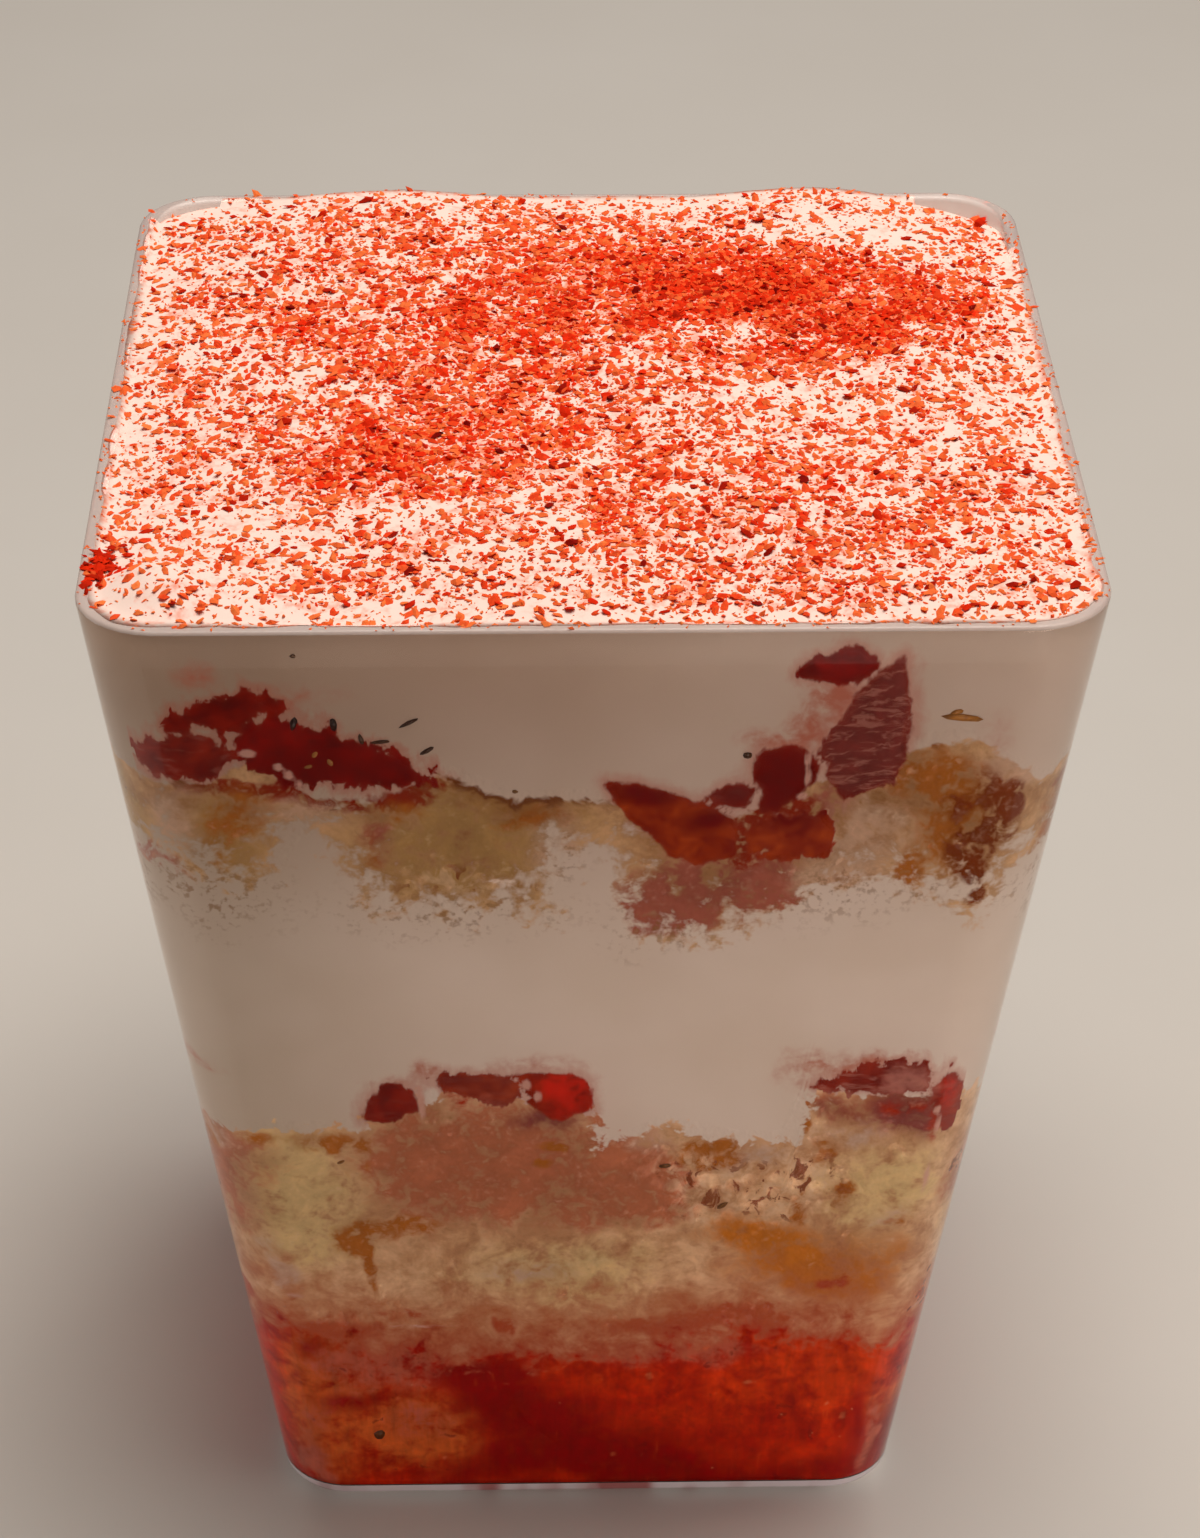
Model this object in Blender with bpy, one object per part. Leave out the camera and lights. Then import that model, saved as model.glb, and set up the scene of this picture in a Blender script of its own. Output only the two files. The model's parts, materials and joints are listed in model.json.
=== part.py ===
"""Strawberry shortcake parfait in a clear square tapered cup, as Blender objects in metres.

The cup stands on the XY plane, centred on the Z axis, with its front towards -Y. It is filled to the rim
with, from the bottom: strawberry compote, sponge cake, cream, sponge cake and cream dusted with crumbs of
freeze-dried strawberry. Cut strawberries lie on both cakes and in the compote, pressed against the wall.
Every layer is one solid that runs through the cup, and neighbours keep a small gap.
"""

import math
import random
from collections import namedtuple

import bmesh
import bpy
import numpy as np
from mathutils import Matrix, Vector, noise

MM = 0.001

# Cup
CUP_HEIGHT = 74.0 * MM
RIM_WIDTH = 60.0 * MM
BASE_WIDTH = 41.5 * MM
RIM_CORNER = 5.0 * MM
BASE_CORNER = 4.5 * MM
WALL = 1.0 * MM
FLOOR = 1.2 * MM
LIP_ROUND = 0.3 * MM
FOOT_ROUND = 0.8 * MM
TAPER = math.atan2((RIM_WIDTH - BASE_WIDTH) / 2, CUP_HEIGHT)

# Fill
GAP = 0.3 * MM
WELD = 0.001 * MM
FILL_INSET = WALL + GAP
FILL_BOTTOM = FLOOR + GAP
CREAM_CROWN = 0.9 * MM
CREAM_EDGE = 0.2 * MM

# Mesh fineness; the front, which has the strongest relief, has the most steps
SIDE_STEPS = (19, 9, 9, 9)
CORNER_STEPS = 3
RINGS = (1.0, 0.7)
TOP_RINGS = (1.0, 0.92, 0.72, 0.4)
LOWER_CAKE_ROWS = 4
UPPER_CAKE_ROWS = 3
BERRY_RINGS = 6
BERRY_SEGMENTS = 8

# A plain side's boundaries swing by this share of the front's range
STATIONS_PER_SIDE = 6
PLAIN_SIDE_SWING = 0.33

# Relief; swells and hollows at the back are (middle, reach) as shares of half the rim's width
CAKE_CRAGS = 0.8 * MM
CAKE_CRAG_SIZE = 3.2 * MM
CREAM_SWELL = 0.55 * MM
CREAM_SWELL_SIZE = 11.0 * MM
BACK_LIFT = 0.8 * MM
BACK_SWELLS = ((-0.4, 0.24), (0.52, 0.2))
HOLLOWS = ((-0.98, 0.10), (0.95, 0.15))
HOLLOW_DEPTH = 1.6 * MM
SMEAR_HEIGHT = 1.0 * MM

# Crumbs of freeze-dried strawberry on the cream
CRUMBS = 88
CRUMB_LENGTH = (0.8 * MM, 1.7 * MM)
CRUMB_SPACING = 1.7 * MM
CRUMB_MARGIN = 0.93
SEED = 11

# Where each layer ends along the front: (millimetres from the middle, height in millimetres)
BOUNDARIES = {
    "compote_top": ((-21, 16), (-10, 12.8), (3, 13.4), (9, 15.6), (21, 14.4)),
    "lower_cake_top": (
        (-25, 34.2),
        (-15.4, 34.6),
        (-14.4, 36.4),
        (-8, 37.6),
        (-0.4, 36.6),
        (0.8, 32.2),
        (5, 34.6),
        (10, 33.2),
        (13.6, 33.2),
        (14.6, 36.8),
        (25, 36.6),
    ),
    "upper_cake_bottom": (
        (-27, 54.2),
        (-20.4, 55.4),
        (-19, 59.4),
        (-16, 59.4),
        (-14.6, 54.8),
        (-4, 53.6),
        (-1.6, 58.8),
        (1.2, 58.6),
        (3, 52.2),
        (8, 51.4),
        (13, 54.4),
        (20, 54.6),
        (23, 53),
        (27, 55),
    ),
    "upper_cake_top": (
        (-28, 62.4),
        (-21, 64),
        (-17, 61.4),
        (-9.6, 63.2),
        (-5, 61.2),
        (1, 61.2),
        (6, 58.4),
        (13, 61),
        (17, 64.6),
        (28, 65),
    ),
}

SIDES = ("front", "right", "back", "left")
CUTS = ("slice", "wedge", "dice")
Berry = namedtuple("Berry", "name side at height length width tilt cut")  # millimetres and degrees

# Cut strawberries that show at the front
FRONT_BERRIES = (
    Berry("upper_corner_slice", 0, -24.7, 64.5, 7.8, 4.5, 4, "slice"),
    Berry("upper_long_slice", 0, -15.3, 64.3, 13.0, 5.8, 166, "slice"),
    Berry("upper_seedy_dice", 0, -21.7, 67.6, 7.4, 4.0, 8, "slice"),
    Berry("upper_wedge", 0, 4.6, 59.7, 10.0, 5.4, -36, "wedge"),
    Berry("upper_chip", 0, 7.9, 61.3, 3.4, 2.4, 20, "wedge"),
    Berry("upper_soft_chunk", 0, 11.2, 58.2, 7.4, 4.6, 6, "wedge"),
    Berry("upper_chunk", 0, 10.9, 62.6, 5.8, 5.0, 70, "wedge"),
    Berry("upper_streaked_slice", 0, 16.2, 66.5, 11.2, 6.2, -105, "slice"),
    Berry("upper_tall_dice", 0, 13.9, 70.9, 5.0, 3.6, 10, "slice"),
    Berry("lower_dice", 0, -12.8, 36.5, 4.4, 4.0, 40, "wedge"),
    Berry("lower_thin_slice", 0, -7.4, 38.1, 6.8, 3.0, -16, "slice"),
    Berry("lower_chunk", 0, -2.6, 37.6, 6.2, 4.9, -28, "wedge"),
    Berry("lower_flat_slice", 0, 17.8, 38.4, 8.4, 3.6, 8, "slice"),
    Berry("lower_corner_wedge", 0, 22.8, 36.0, 6.6, 4.2, -70, "wedge"),
    Berry("base_half", 0, -11.8, 5.4, 12.0, 9.6, 6, "wedge"),
    Berry("base_dark_half", 0, -1.4, 6.6, 12.5, 7.0, -42, "slice"),
    Berry("base_chunk", 0, 12.6, 7.6, 11.6, 8.6, 76, "wedge"),
)
# A plain side has this many pieces at each level, of these lengths, lying on this layer
PLAIN_SIDE_BERRIES = {
    "upper": (3, "upper_cake_top", (7, 13)),
    "lower": (3, "lower_cake_top", (5, 9)),
    "base": (1, None, (10, 13)),
}
BASE_BERRY_HEIGHT = 7.0
BERRY_THICKEST = 7.5
BERRY_REACH_IN = 6.5

COLOURS = {
    "clear_plastic": ((0.95, 0.95, 0.96), 0.08),
    "cream": ((0.93, 0.88, 0.80), 0.55),
    "cake": ((0.82, 0.66, 0.40), 0.9),
    "compote": ((0.62, 0.06, 0.02), 0.3),
    "berry": ((0.58, 0.03, 0.02), 0.35),
}


def clear_scene():
    """Removes whatever the file holds, so that only the parfait is left."""
    for thing in list(bpy.data.objects):
        bpy.data.objects.remove(thing, do_unlink=True)


def finish_material(name, colour, roughness):
    material = bpy.data.materials.new(name)
    material.use_nodes = True
    shader = material.node_tree.nodes["Principled BSDF"]
    shader.inputs["Base Color"].default_value = (*colour, 1.0)
    shader.inputs["Roughness"].default_value = roughness
    shader.inputs["Metallic"].default_value = 0.0
    if name == "clear_plastic":
        shader.inputs["Transmission Weight"].default_value = 1.0
        shader.inputs["IOR"].default_value = 1.5
    return material


def mix(low, high, share):
    return low + (high - low) * share


def half_width(height):
    """Half of the cup's outer width at a height."""
    return mix(BASE_WIDTH, RIM_WIDTH, height / CUP_HEIGHT) / 2


def object_from(edit, name, material=None):
    """A linked object with the bmesh's shape, in triangles; the bmesh is freed."""
    bmesh.ops.triangulate(edit, faces=edit.faces)
    bmesh.ops.recalc_face_normals(edit, faces=edit.faces)
    mesh = bpy.data.meshes.new(name)
    edit.to_mesh(mesh)
    edit.free()
    made = bpy.data.objects.new(name, mesh)
    bpy.context.scene.collection.objects.link(made)
    if material:
        mesh.materials.append(material)
    return made


def join_loops(edit, loops):
    """Faces between each closed loop of vertices and the next."""
    for near, far in zip(loops, loops[1:]):
        for i, here in enumerate(near):
            after = (i + 1) % len(near)
            edit.faces.new((here, near[after], far[after], far[i]))


def close_loop(edit, loop, middle):
    """A fan of faces from a closed loop of vertices to the vertex in its middle."""
    for i, here in enumerate(loop):
        edit.faces.new((here, loop[(i + 1) % len(loop)], middle))


# The tapered square: every outline of the cup and of its fill is this one, at a height and an inset


def outline_places():
    """Places round the square, anticlockwise from above: (is it on a corner, side index, share along)."""
    places = []
    for side, steps in enumerate(SIDE_STEPS):
        places += [(True, side, step / CORNER_STEPS) for step in range(CORNER_STEPS)]
        places += [(False, side, step / steps) for step in range(steps)]
    return places


PLACES = outline_places()


def wall_point(place, height, inset):
    """The point of a place at a height, inset from the outer wall."""
    half = half_width(height) - inset
    radius = max(mix(BASE_CORNER, RIM_CORNER, height / CUP_HEIGHT) - inset, 0.5 * MM)
    on_corner, side, share = place
    if on_corner:
        angle = math.radians(180 + 90 * share)
        x = -(half - radius) + radius * math.cos(angle)
        y = -(half - radius) + radius * math.sin(angle)
    else:
        x = mix(-1, 1, share) * (half - radius)
        y = -half
    return Matrix.Rotation(math.radians(90 * side), 2) @ Vector((x, y))


def turn_round(point):
    """How far round the square a direction is: 0 at the front's left corner, 1 at its right, up to 4."""
    x, y = point
    if abs(y) >= abs(x):
        side, along = (0, x / -y) if y < 0 else (2, -x / y)
    else:
        side, along = (1, y / x) if x > 0 else (3, y / x)
    return side + (along + 1) / 2


def boundary(name):
    """A function of a turn round the square giving a layer's height at the wall, and its mean height.

    The front follows its stations, and the other sides have seeded ones round the same mean.
    """
    draw = random.Random(f"{name}{SEED}")
    front = BOUNDARIES[name]
    heights = [z for _, z in front]
    turns = [(x * MM / half_width(z * MM) + 1) / 2 for x, z in front]
    mean = sum(heights) / len(heights)
    swing = (max(heights) - min(heights)) * PLAIN_SIDE_SWING
    for side in (1, 2, 3):
        for station in range(STATIONS_PER_SIDE):
            turns.append(side + (station + draw.uniform(0.3, 0.7)) / STATIONS_PER_SIDE)
            heights.append(mean + draw.uniform(-swing, swing))
    return lambda turn: np.interp(turn, turns, heights, period=4) * MM, mean * MM


def layer_height(name):
    """A function of a direction and a share of the way to the wall, giving the layer's height there."""
    at_wall, mean = boundary(name)
    return lambda direction, share_out: mix(mean, at_wall(turn_round(direction)), share_out**2)


def crown_height(direction, share_out):
    """The top of the cream: softly domed and swelling, flush at the front edge, low in the back corners."""
    x, y = direction * share_out
    half = RIM_WIDTH / 2
    dome = CREAM_CROWN * (1 - share_out**4)
    swell = CREAM_SWELL * noise.noise(Vector((x, y, 0)) / CREAM_SWELL_SIZE) * (1 - 0.4 * share_out)
    backwards = max(0.0, y / half) ** 2
    lift = sum(BACK_LIFT * backwards * math.exp(-(((x / half - at) / reach) ** 2)) for at, reach in BACK_SWELLS)
    hollows = 0.0
    for at, reach in HOLLOWS:
        away = math.hypot(x / half - at, y / half - 1)
        hollows += HOLLOW_DEPTH * math.exp(-((away / reach) ** 2) / 2)
    smear_away = math.hypot(x / half + 0.84, y / half + 0.82)
    smear = SMEAR_HEIGHT * math.exp(-((smear_away / 0.08) ** 2))
    return CUP_HEIGHT - CREAM_EDGE + dome + swell + lift + smear - hollows


def crags(point):
    """How far the cake's torn side stands back from the wall at a point."""
    at = point / CAKE_CRAG_SIZE
    return CAKE_CRAGS * max(0.0, 0.25 + noise.noise(at) + 0.5 * noise.noise(at * 2.3))


def surface(edit, height, rings):
    """Loops of vertices from the wall inwards, and the middle one."""
    loops = []
    for share_out in rings:
        loop = []
        for place in PLACES:
            direction = wall_point(place, CUP_HEIGHT, FILL_INSET)
            z = height(direction, share_out)
            x, y = wall_point(place, min(z, CUP_HEIGHT), FILL_INSET) * share_out
            loop.append(edit.verts.new((x, y, z)))
        loops.append(loop)
    return loops, edit.verts.new((0, 0, height(Vector((0.0, -MM)), 0)))


def layer_solid(name, bottom, top, material, top_rings=RINGS, craggy_rows=1):
    """A closed solid between two height functions, its side following the cup's wall."""
    edit = bmesh.new()
    bottom_loops, bottom_middle = surface(edit, bottom, RINGS)
    top_loops, top_middle = surface(edit, top, top_rings)
    side_loops = []
    for row in range(1, craggy_rows):
        loop = []
        for place, low, high in zip(PLACES, bottom_loops[0], top_loops[0]):
            z = mix(low.co.z, high.co.z, row / craggy_rows)
            x, y = wall_point(place, z, FILL_INSET)
            x, y = wall_point(place, z, FILL_INSET + crags(Vector((x, y, z))))
            loop.append(edit.verts.new((x, y, z)))
        side_loops.append(loop)
    join_loops(edit, [*reversed(bottom_loops), *side_loops, *top_loops])
    close_loop(edit, bottom_loops[-1], bottom_middle)
    close_loop(edit, top_loops[-1], top_middle)
    return object_from(edit, name, material)


def cup(material):
    """The clear cup: a foot rounded into the wall, a rounded lip and a flat floor."""
    quarter = [math.radians(angle) for angle in (0, 45, 90)]
    foot = [(FOOT_ROUND * (1 - math.sin(a)), FOOT_ROUND * (1 - math.cos(a))) for a in quarter]
    lip_out = [(LIP_ROUND * (1 - math.cos(a)), CUP_HEIGHT - LIP_ROUND * (1 - math.sin(a))) for a in quarter]
    lip_in = [(WALL - inset, z) for inset, z in reversed(lip_out)]
    inner_foot = [(WALL + inset, FLOOR + z) for inset, z in reversed(foot)]
    edit = bmesh.new()
    loops = []
    for inset, z in [*foot, *lip_out, *lip_in, *inner_foot]:
        points = [wall_point(place, z, inset) for place in PLACES]
        loops.append([edit.verts.new((x, y, z)) for x, y in points])
    join_loops(edit, loops)
    close_loop(edit, loops[0], edit.verts.new((0, 0, 0)))
    close_loop(edit, loops[-1], edit.verts.new((0, 0, FLOOR)))
    made = object_from(edit, "cup", material)
    made.data.shade_smooth()
    made.data.set_sharp_from_angle(angle=math.radians(30))


def boolean(target, tool, operation):
    """Applies one Boolean with an object or a collection, and keeps only the largest body."""
    cut = target.modifiers.new(operation.lower(), "BOOLEAN")
    cut.operation = operation
    if isinstance(tool, bpy.types.Collection):
        cut.operand_type = "COLLECTION"
        cut.collection = tool
    else:
        cut.object = tool
    graph = bpy.context.evaluated_depsgraph_get()
    done = bpy.data.meshes.new_from_object(target.evaluated_get(graph))
    target.modifiers.clear()
    target.data = done
    keep_largest_body(target)


def keep_largest_body(target):
    """Drops the loose scraps and slivers that a cut leaves."""
    edit = bmesh.new()
    edit.from_mesh(target.data)
    bmesh.ops.triangulate(edit, faces=edit.faces)
    bmesh.ops.remove_doubles(edit, verts=edit.verts, dist=WELD)
    left = set(edit.verts)
    bodies = []
    while left:
        body, front = set(), [left.pop()]
        while front:
            vert = front.pop()
            body.add(vert)
            near = {edge.other_vert(vert) for edge in vert.link_edges} & left
            left -= near
            front.extend(near)
        bodies.append(body)
    bodies.sort(key=len)
    bmesh.ops.delete(edit, geom=[v for body in bodies[:-1] for v in body], context="VERTS")
    bmesh.ops.recalc_face_normals(edit, faces=edit.faces)
    if edit.calc_volume(signed=True) < 0:
        bmesh.ops.reverse_faces(edit, faces=edit.faces)
    edit.to_mesh(target.data)
    edit.free()


# Cut strawberries


def berry_profile(share):
    """A strawberry's radius as a share of its greatest, from the tip at 0 to the shoulder at 1."""
    return 1.18 * share**0.62 * (1 - share**5) ** 0.5


def knife_cuts(cut, length, depth, width):
    """The planes, as a point and a normal, that a piece is cut along; the side of the normal goes."""
    if cut == "slice":
        return [(Vector((0, 0.55 * depth, 0)), Vector((0, 1, 0.1)))]
    if cut == "wedge":
        return [(Vector((0, 0.3 * depth, 0.22 * width)), Vector((0.1, 0.7, 0.7)))]
    return [
        (Vector((0.36 * length, 0, 0)), Vector((1, 0.15, 0.1))),
        (Vector((-0.22 * length, 0, 0)), Vector((-1, 0.1, 0.2))),
    ]


def berry_solid(name, berry, grow, material=None):
    """A strawberry with its axis along the wall of its side, cut as its piece is cut.

    Grown all round, it is the tool that cuts its seat in what surrounds it.
    """
    length, width = berry.length * MM, berry.width * MM
    depth = min(berry.width * 0.9, BERRY_REACH_IN) * MM
    edit = bmesh.new()
    loops = []
    for ring in range(1, BERRY_RINGS):
        share = ring / BERRY_RINGS
        radius = berry_profile(share)
        loop = []
        for step in range(BERRY_SEGMENTS):
            angle = math.tau * (step + ring % 2 / 2) / BERRY_SEGMENTS
            y, z = radius * depth * math.cos(angle), radius * width / 2 * math.sin(angle)
            loop.append(edit.verts.new(((share - 0.5) * length, y, z)))
        loops.append(loop)
    join_loops(edit, loops)
    close_loop(edit, loops[0], edit.verts.new((-length / 2, 0, 0)))
    close_loop(edit, loops[-1], edit.verts.new((length / 2, 0, 0)))
    for point, normal in knife_cuts(berry.cut, length, depth, width):
        whole = [*edit.verts, *edit.edges, *edit.faces]
        cut = bmesh.ops.bisect_plane(edit, geom=whole, plane_co=point, plane_no=normal, clear_outer=True)
        rim = [part for part in cut["geom_cut"] if isinstance(part, bmesh.types.BMEdge)]
        bmesh.ops.contextual_create(edit, geom=rim)
    bmesh.ops.recalc_face_normals(edit, faces=edit.faces)
    edit.normal_update()
    offsets = [vert.normal * grow * vert.calc_shell_factor() for vert in edit.verts]
    for vert, offset in zip(edit.verts, offsets):
        vert.co += offset
    place = (
        Matrix.Rotation(math.radians(90 * berry.side), 4, "Z")
        @ Matrix.Translation((berry.at * MM, FILL_INSET - half_width(berry.height * MM), berry.height * MM))
        @ Matrix.Rotation(TAPER, 4, "X")
        @ Matrix.Rotation(math.radians(-berry.tilt), 4, "Y")
    )
    bmesh.ops.transform(edit, matrix=place, verts=edit.verts)
    return object_from(edit, name, material)


def plain_side_berries():
    """Seeded pieces for the right, back and left sides, lying as those at the front do."""
    draw = random.Random(SEED)
    pieces = []
    for side in (1, 2, 3):
        for level, (count, layer, lengths) in PLAIN_SIDE_BERRIES.items():
            for number in range(count):
                length = draw.uniform(*lengths)
                width = min(length * draw.uniform(0.5, 0.7), BERRY_THICKEST)
                share = (number + draw.uniform(0.3, 0.7)) / count
                height = BASE_BERRY_HEIGHT
                if layer:
                    height = boundary(layer)[0](side + share) / MM + width * 0.22
                at = mix(-1, 1, share) * (half_width(height * MM) / MM - length / 2)
                name = f"{level}_{SIDES[side]}_{number + 1}"
                cut = CUTS[(number + side) % len(CUTS)]
                pieces.append(Berry(name, side, at, height, length, width, draw.uniform(-28, 28), cut))
    return pieces


def boxes_meet(one, other):
    """Whether two objects lie near enough that one may have to give way to the other."""
    lows = [np.min(thing.bound_box, axis=0) for thing in (one, other)]
    highs = [np.max(thing.bound_box, axis=0) for thing in (one, other)]
    return bool((np.maximum(*lows) < np.minimum(*highs)).all())


def cut_seats(target, tools):
    """Cuts the seats of the strawberries out of a layer, or out of a piece that lies against them."""
    for tool in tools:
        if boxes_meet(target, tool):
            boolean(target, tool, "DIFFERENCE")


def berries(material):
    """The pieces, trimmed by the wall and by those before them. It gives the tools that cut their seats."""
    space = layer_solid("fill_space", lambda d, s: FILL_BOTTOM, lambda d, s: CUP_HEIGHT, None)
    tools = []
    for berry in [*FRONT_BERRIES, *plain_side_berries()]:
        piece = berry_solid(f"berry_{berry.name}", berry, 0.0, material)
        boolean(piece, space, "INTERSECT")
        cut_seats(piece, tools)
        tools.append(berry_solid(f"seat_{berry.name}", berry, GAP))
    bpy.data.objects.remove(space)
    return tools


def dustiness(spot):
    """How thickly the crumbs lie at a spot of the top, from 0 to 1: a band towards the back is thickest."""
    x, y = spot / (RIM_WIDTH / 2)
    band = math.exp(-(((x - 0.45) / 0.5) ** 2) - ((y - 0.45) / 0.28) ** 2)
    left = math.exp(-(((x + 0.4) / 0.45) ** 2) - ((y + 0.35) / 0.4) ** 2)
    return 0.35 + 0.65 * max(band, 0.6 * left)


def crumb(name, at, draw, group):
    """One angular crumb, half sunk in the cream."""
    edit = bmesh.new()
    bmesh.ops.create_cube(edit, size=1)
    for vert in edit.verts:
        vert.co *= draw.uniform(0.6, 1.0)
    length = draw.uniform(*CRUMB_LENGTH)
    shape = Matrix.Diagonal((length, length * draw.uniform(0.5, 0.8), length * draw.uniform(0.5, 0.7), 1))
    turn = Matrix.Rotation(draw.uniform(0, math.tau), 4, "Z") @ Matrix.Rotation(draw.uniform(-0.3, 0.3), 4, "X")
    bmesh.ops.transform(edit, matrix=Matrix.Translation(at) @ turn @ shape, verts=edit.verts)
    made = object_from(edit, name)
    bpy.context.scene.collection.objects.unlink(made)
    group.objects.link(made)


def fuse_crumbs(cream):
    """Fuses the largest crumbs to the top of the cream, with no two so close that they touch."""
    draw = random.Random(SEED)
    group = bpy.data.collections.new("crumbs")
    bpy.context.scene.collection.children.link(group)
    half = (RIM_WIDTH / 2 - FILL_INSET) * CRUMB_MARGIN
    spots = []
    while len(spots) < CRUMBS:
        spot = Vector((draw.uniform(-half, half), draw.uniform(-half, half)))
        wanted = draw.random() < dustiness(spot)
        if wanted and all((spot - other).length > CRUMB_SPACING for other in spots):
            spots.append(spot)
    for number, spot in enumerate(spots):
        hit, point, _, _ = cream.ray_cast((spot.x, spot.y, 2 * CUP_HEIGHT), (0, 0, -1))
        if hit:
            crumb(f"crumb_{number}", point, draw, group)
    boolean(cream, group, "UNION")
    for made in list(group.objects):
        bpy.data.objects.remove(made)
    bpy.data.collections.remove(group)


def raised(height):
    """The same boundary a gap higher, where the next layer starts."""
    return lambda direction, share_out: height(direction, share_out) + GAP


def main():
    clear_scene()
    finishes = {name: finish_material(name, *look) for name, look in COLOURS.items()}
    cup(finishes["clear_plastic"])

    ends = {name: layer_height(name) for name in BOUNDARIES}
    compote = layer_solid("strawberry_compote", lambda d, s: FILL_BOTTOM, ends["compote_top"], finishes["compote"])
    lower_cake = layer_solid(
        "sponge_lower",
        raised(ends["compote_top"]),
        ends["lower_cake_top"],
        finishes["cake"],
        craggy_rows=LOWER_CAKE_ROWS,
    )
    middle_cream = layer_solid(
        "cream_middle", raised(ends["lower_cake_top"]), ends["upper_cake_bottom"], finishes["cream"]
    )
    upper_cake = layer_solid(
        "sponge_upper",
        raised(ends["upper_cake_bottom"]),
        ends["upper_cake_top"],
        finishes["cake"],
        craggy_rows=UPPER_CAKE_ROWS,
    )
    top_cream = layer_solid(
        "cream_top", raised(ends["upper_cake_top"]), crown_height, finishes["cream"], top_rings=TOP_RINGS
    )

    tools = berries(finishes["berry"])
    for layer in (compote, lower_cake, middle_cream, upper_cake, top_cream):
        cut_seats(layer, tools)
    for tool in tools:
        bpy.data.objects.remove(tool)
    fuse_crumbs(top_cream)


main()
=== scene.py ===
"""Looks of the strawberry shortcake parfait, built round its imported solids.

The clear cup holds compote, sponge, cream, sponge and dusted cream. Every layer's outer side reaches just
into the plastic, by a little more for what is pressed hardest against it, so that fruit shows in front of
sponge and sponge in front of cream. Lengths are metres, and the front of the cup faces -Y.
"""

import json
import math
import random
from collections import namedtuple

import bmesh
import bpy
import numpy as np
from mathutils import Matrix, Vector, kdtree, noise

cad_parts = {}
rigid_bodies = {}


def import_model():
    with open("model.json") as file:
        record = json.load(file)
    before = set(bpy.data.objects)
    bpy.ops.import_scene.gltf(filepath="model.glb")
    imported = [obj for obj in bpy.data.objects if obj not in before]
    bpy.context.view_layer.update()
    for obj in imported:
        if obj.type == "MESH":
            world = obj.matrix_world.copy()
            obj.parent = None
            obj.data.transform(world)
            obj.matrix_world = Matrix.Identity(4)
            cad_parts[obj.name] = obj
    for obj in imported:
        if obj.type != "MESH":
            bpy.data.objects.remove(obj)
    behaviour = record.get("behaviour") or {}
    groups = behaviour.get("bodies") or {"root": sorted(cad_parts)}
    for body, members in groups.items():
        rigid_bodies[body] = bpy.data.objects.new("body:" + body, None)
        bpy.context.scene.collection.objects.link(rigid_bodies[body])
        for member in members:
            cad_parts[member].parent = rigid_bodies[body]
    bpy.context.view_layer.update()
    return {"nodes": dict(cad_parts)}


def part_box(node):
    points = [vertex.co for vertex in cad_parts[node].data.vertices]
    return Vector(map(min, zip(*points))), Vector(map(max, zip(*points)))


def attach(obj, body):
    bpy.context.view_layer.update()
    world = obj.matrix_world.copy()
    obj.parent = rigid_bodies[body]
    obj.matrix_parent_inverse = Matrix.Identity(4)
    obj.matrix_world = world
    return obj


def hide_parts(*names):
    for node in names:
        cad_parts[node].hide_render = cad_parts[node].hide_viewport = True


for thing in list(bpy.data.objects):
    bpy.data.objects.remove(thing, do_unlink=True)
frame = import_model()

MM = 0.001

# Cup
CUP_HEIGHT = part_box("cup")[1].z
RIM_WIDTH = 60.0 * MM
BASE_WIDTH = 41.5 * MM
RIM_CORNER = 5.0 * MM
BASE_CORNER = 4.5 * MM
WALL = 1.0 * MM
FLOOR = 1.2 * MM
LIP_ROUND = 0.3 * MM
FOOT_ROUND = 0.8 * MM
RIM_BAND = 2.5 * MM
BARE_BAND = 3.5 * MM
TAPER = math.atan2((RIM_WIDTH - BASE_WIDTH) / 2, CUP_HEIGHT)

# How far each food reaches into the wall, so that nothing leaves an air gap
CREAM_REACH = 0.05 * MM
SPONGE_REACH = 0.062 * MM
BERRY_REACH = 0.09 * MM
BERRY_SPREAD = 0.02 * MM
BERRY_STEP = 0.005 * MM
BERRY_STEPS = 8
SEED_REACH = 0.14 * MM
FLOOR_REACH = 0.45 * MM
SOLID_INSET = 1.3 * MM
TUCK = 1.5 * MM
SINK = 0.12 * MM
PRESSED = 0.08 * MM
BERRY_EDGE = 0.6 * MM
CAKE_TUCK = 3.4 * MM
PORE = 1.0 * MM
FINE_PORE = 0.6 * MM

# Mesh fineness: steps along each side of the fill's outline, and height of a row
FINE_STEPS = 180
CUP_STEPS = 64
FINE_ROW = 0.32 * MM
SMOOTH_ROW = 0.5 * MM
BERRY_VOXEL = 0.3 * MM
BASE_TOP = 12  # millimetres: strawberries below this lie in the compote
MIDDLE_TOP = 50  # millimetres: the others below this lie on the lower cake

SEED = 11
STATIONS_PER_SIDE = 6
PLAIN_SIDE_SWING = 0.33
FRONT, RIGHT, BACK, LEFT = range(4)

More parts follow.
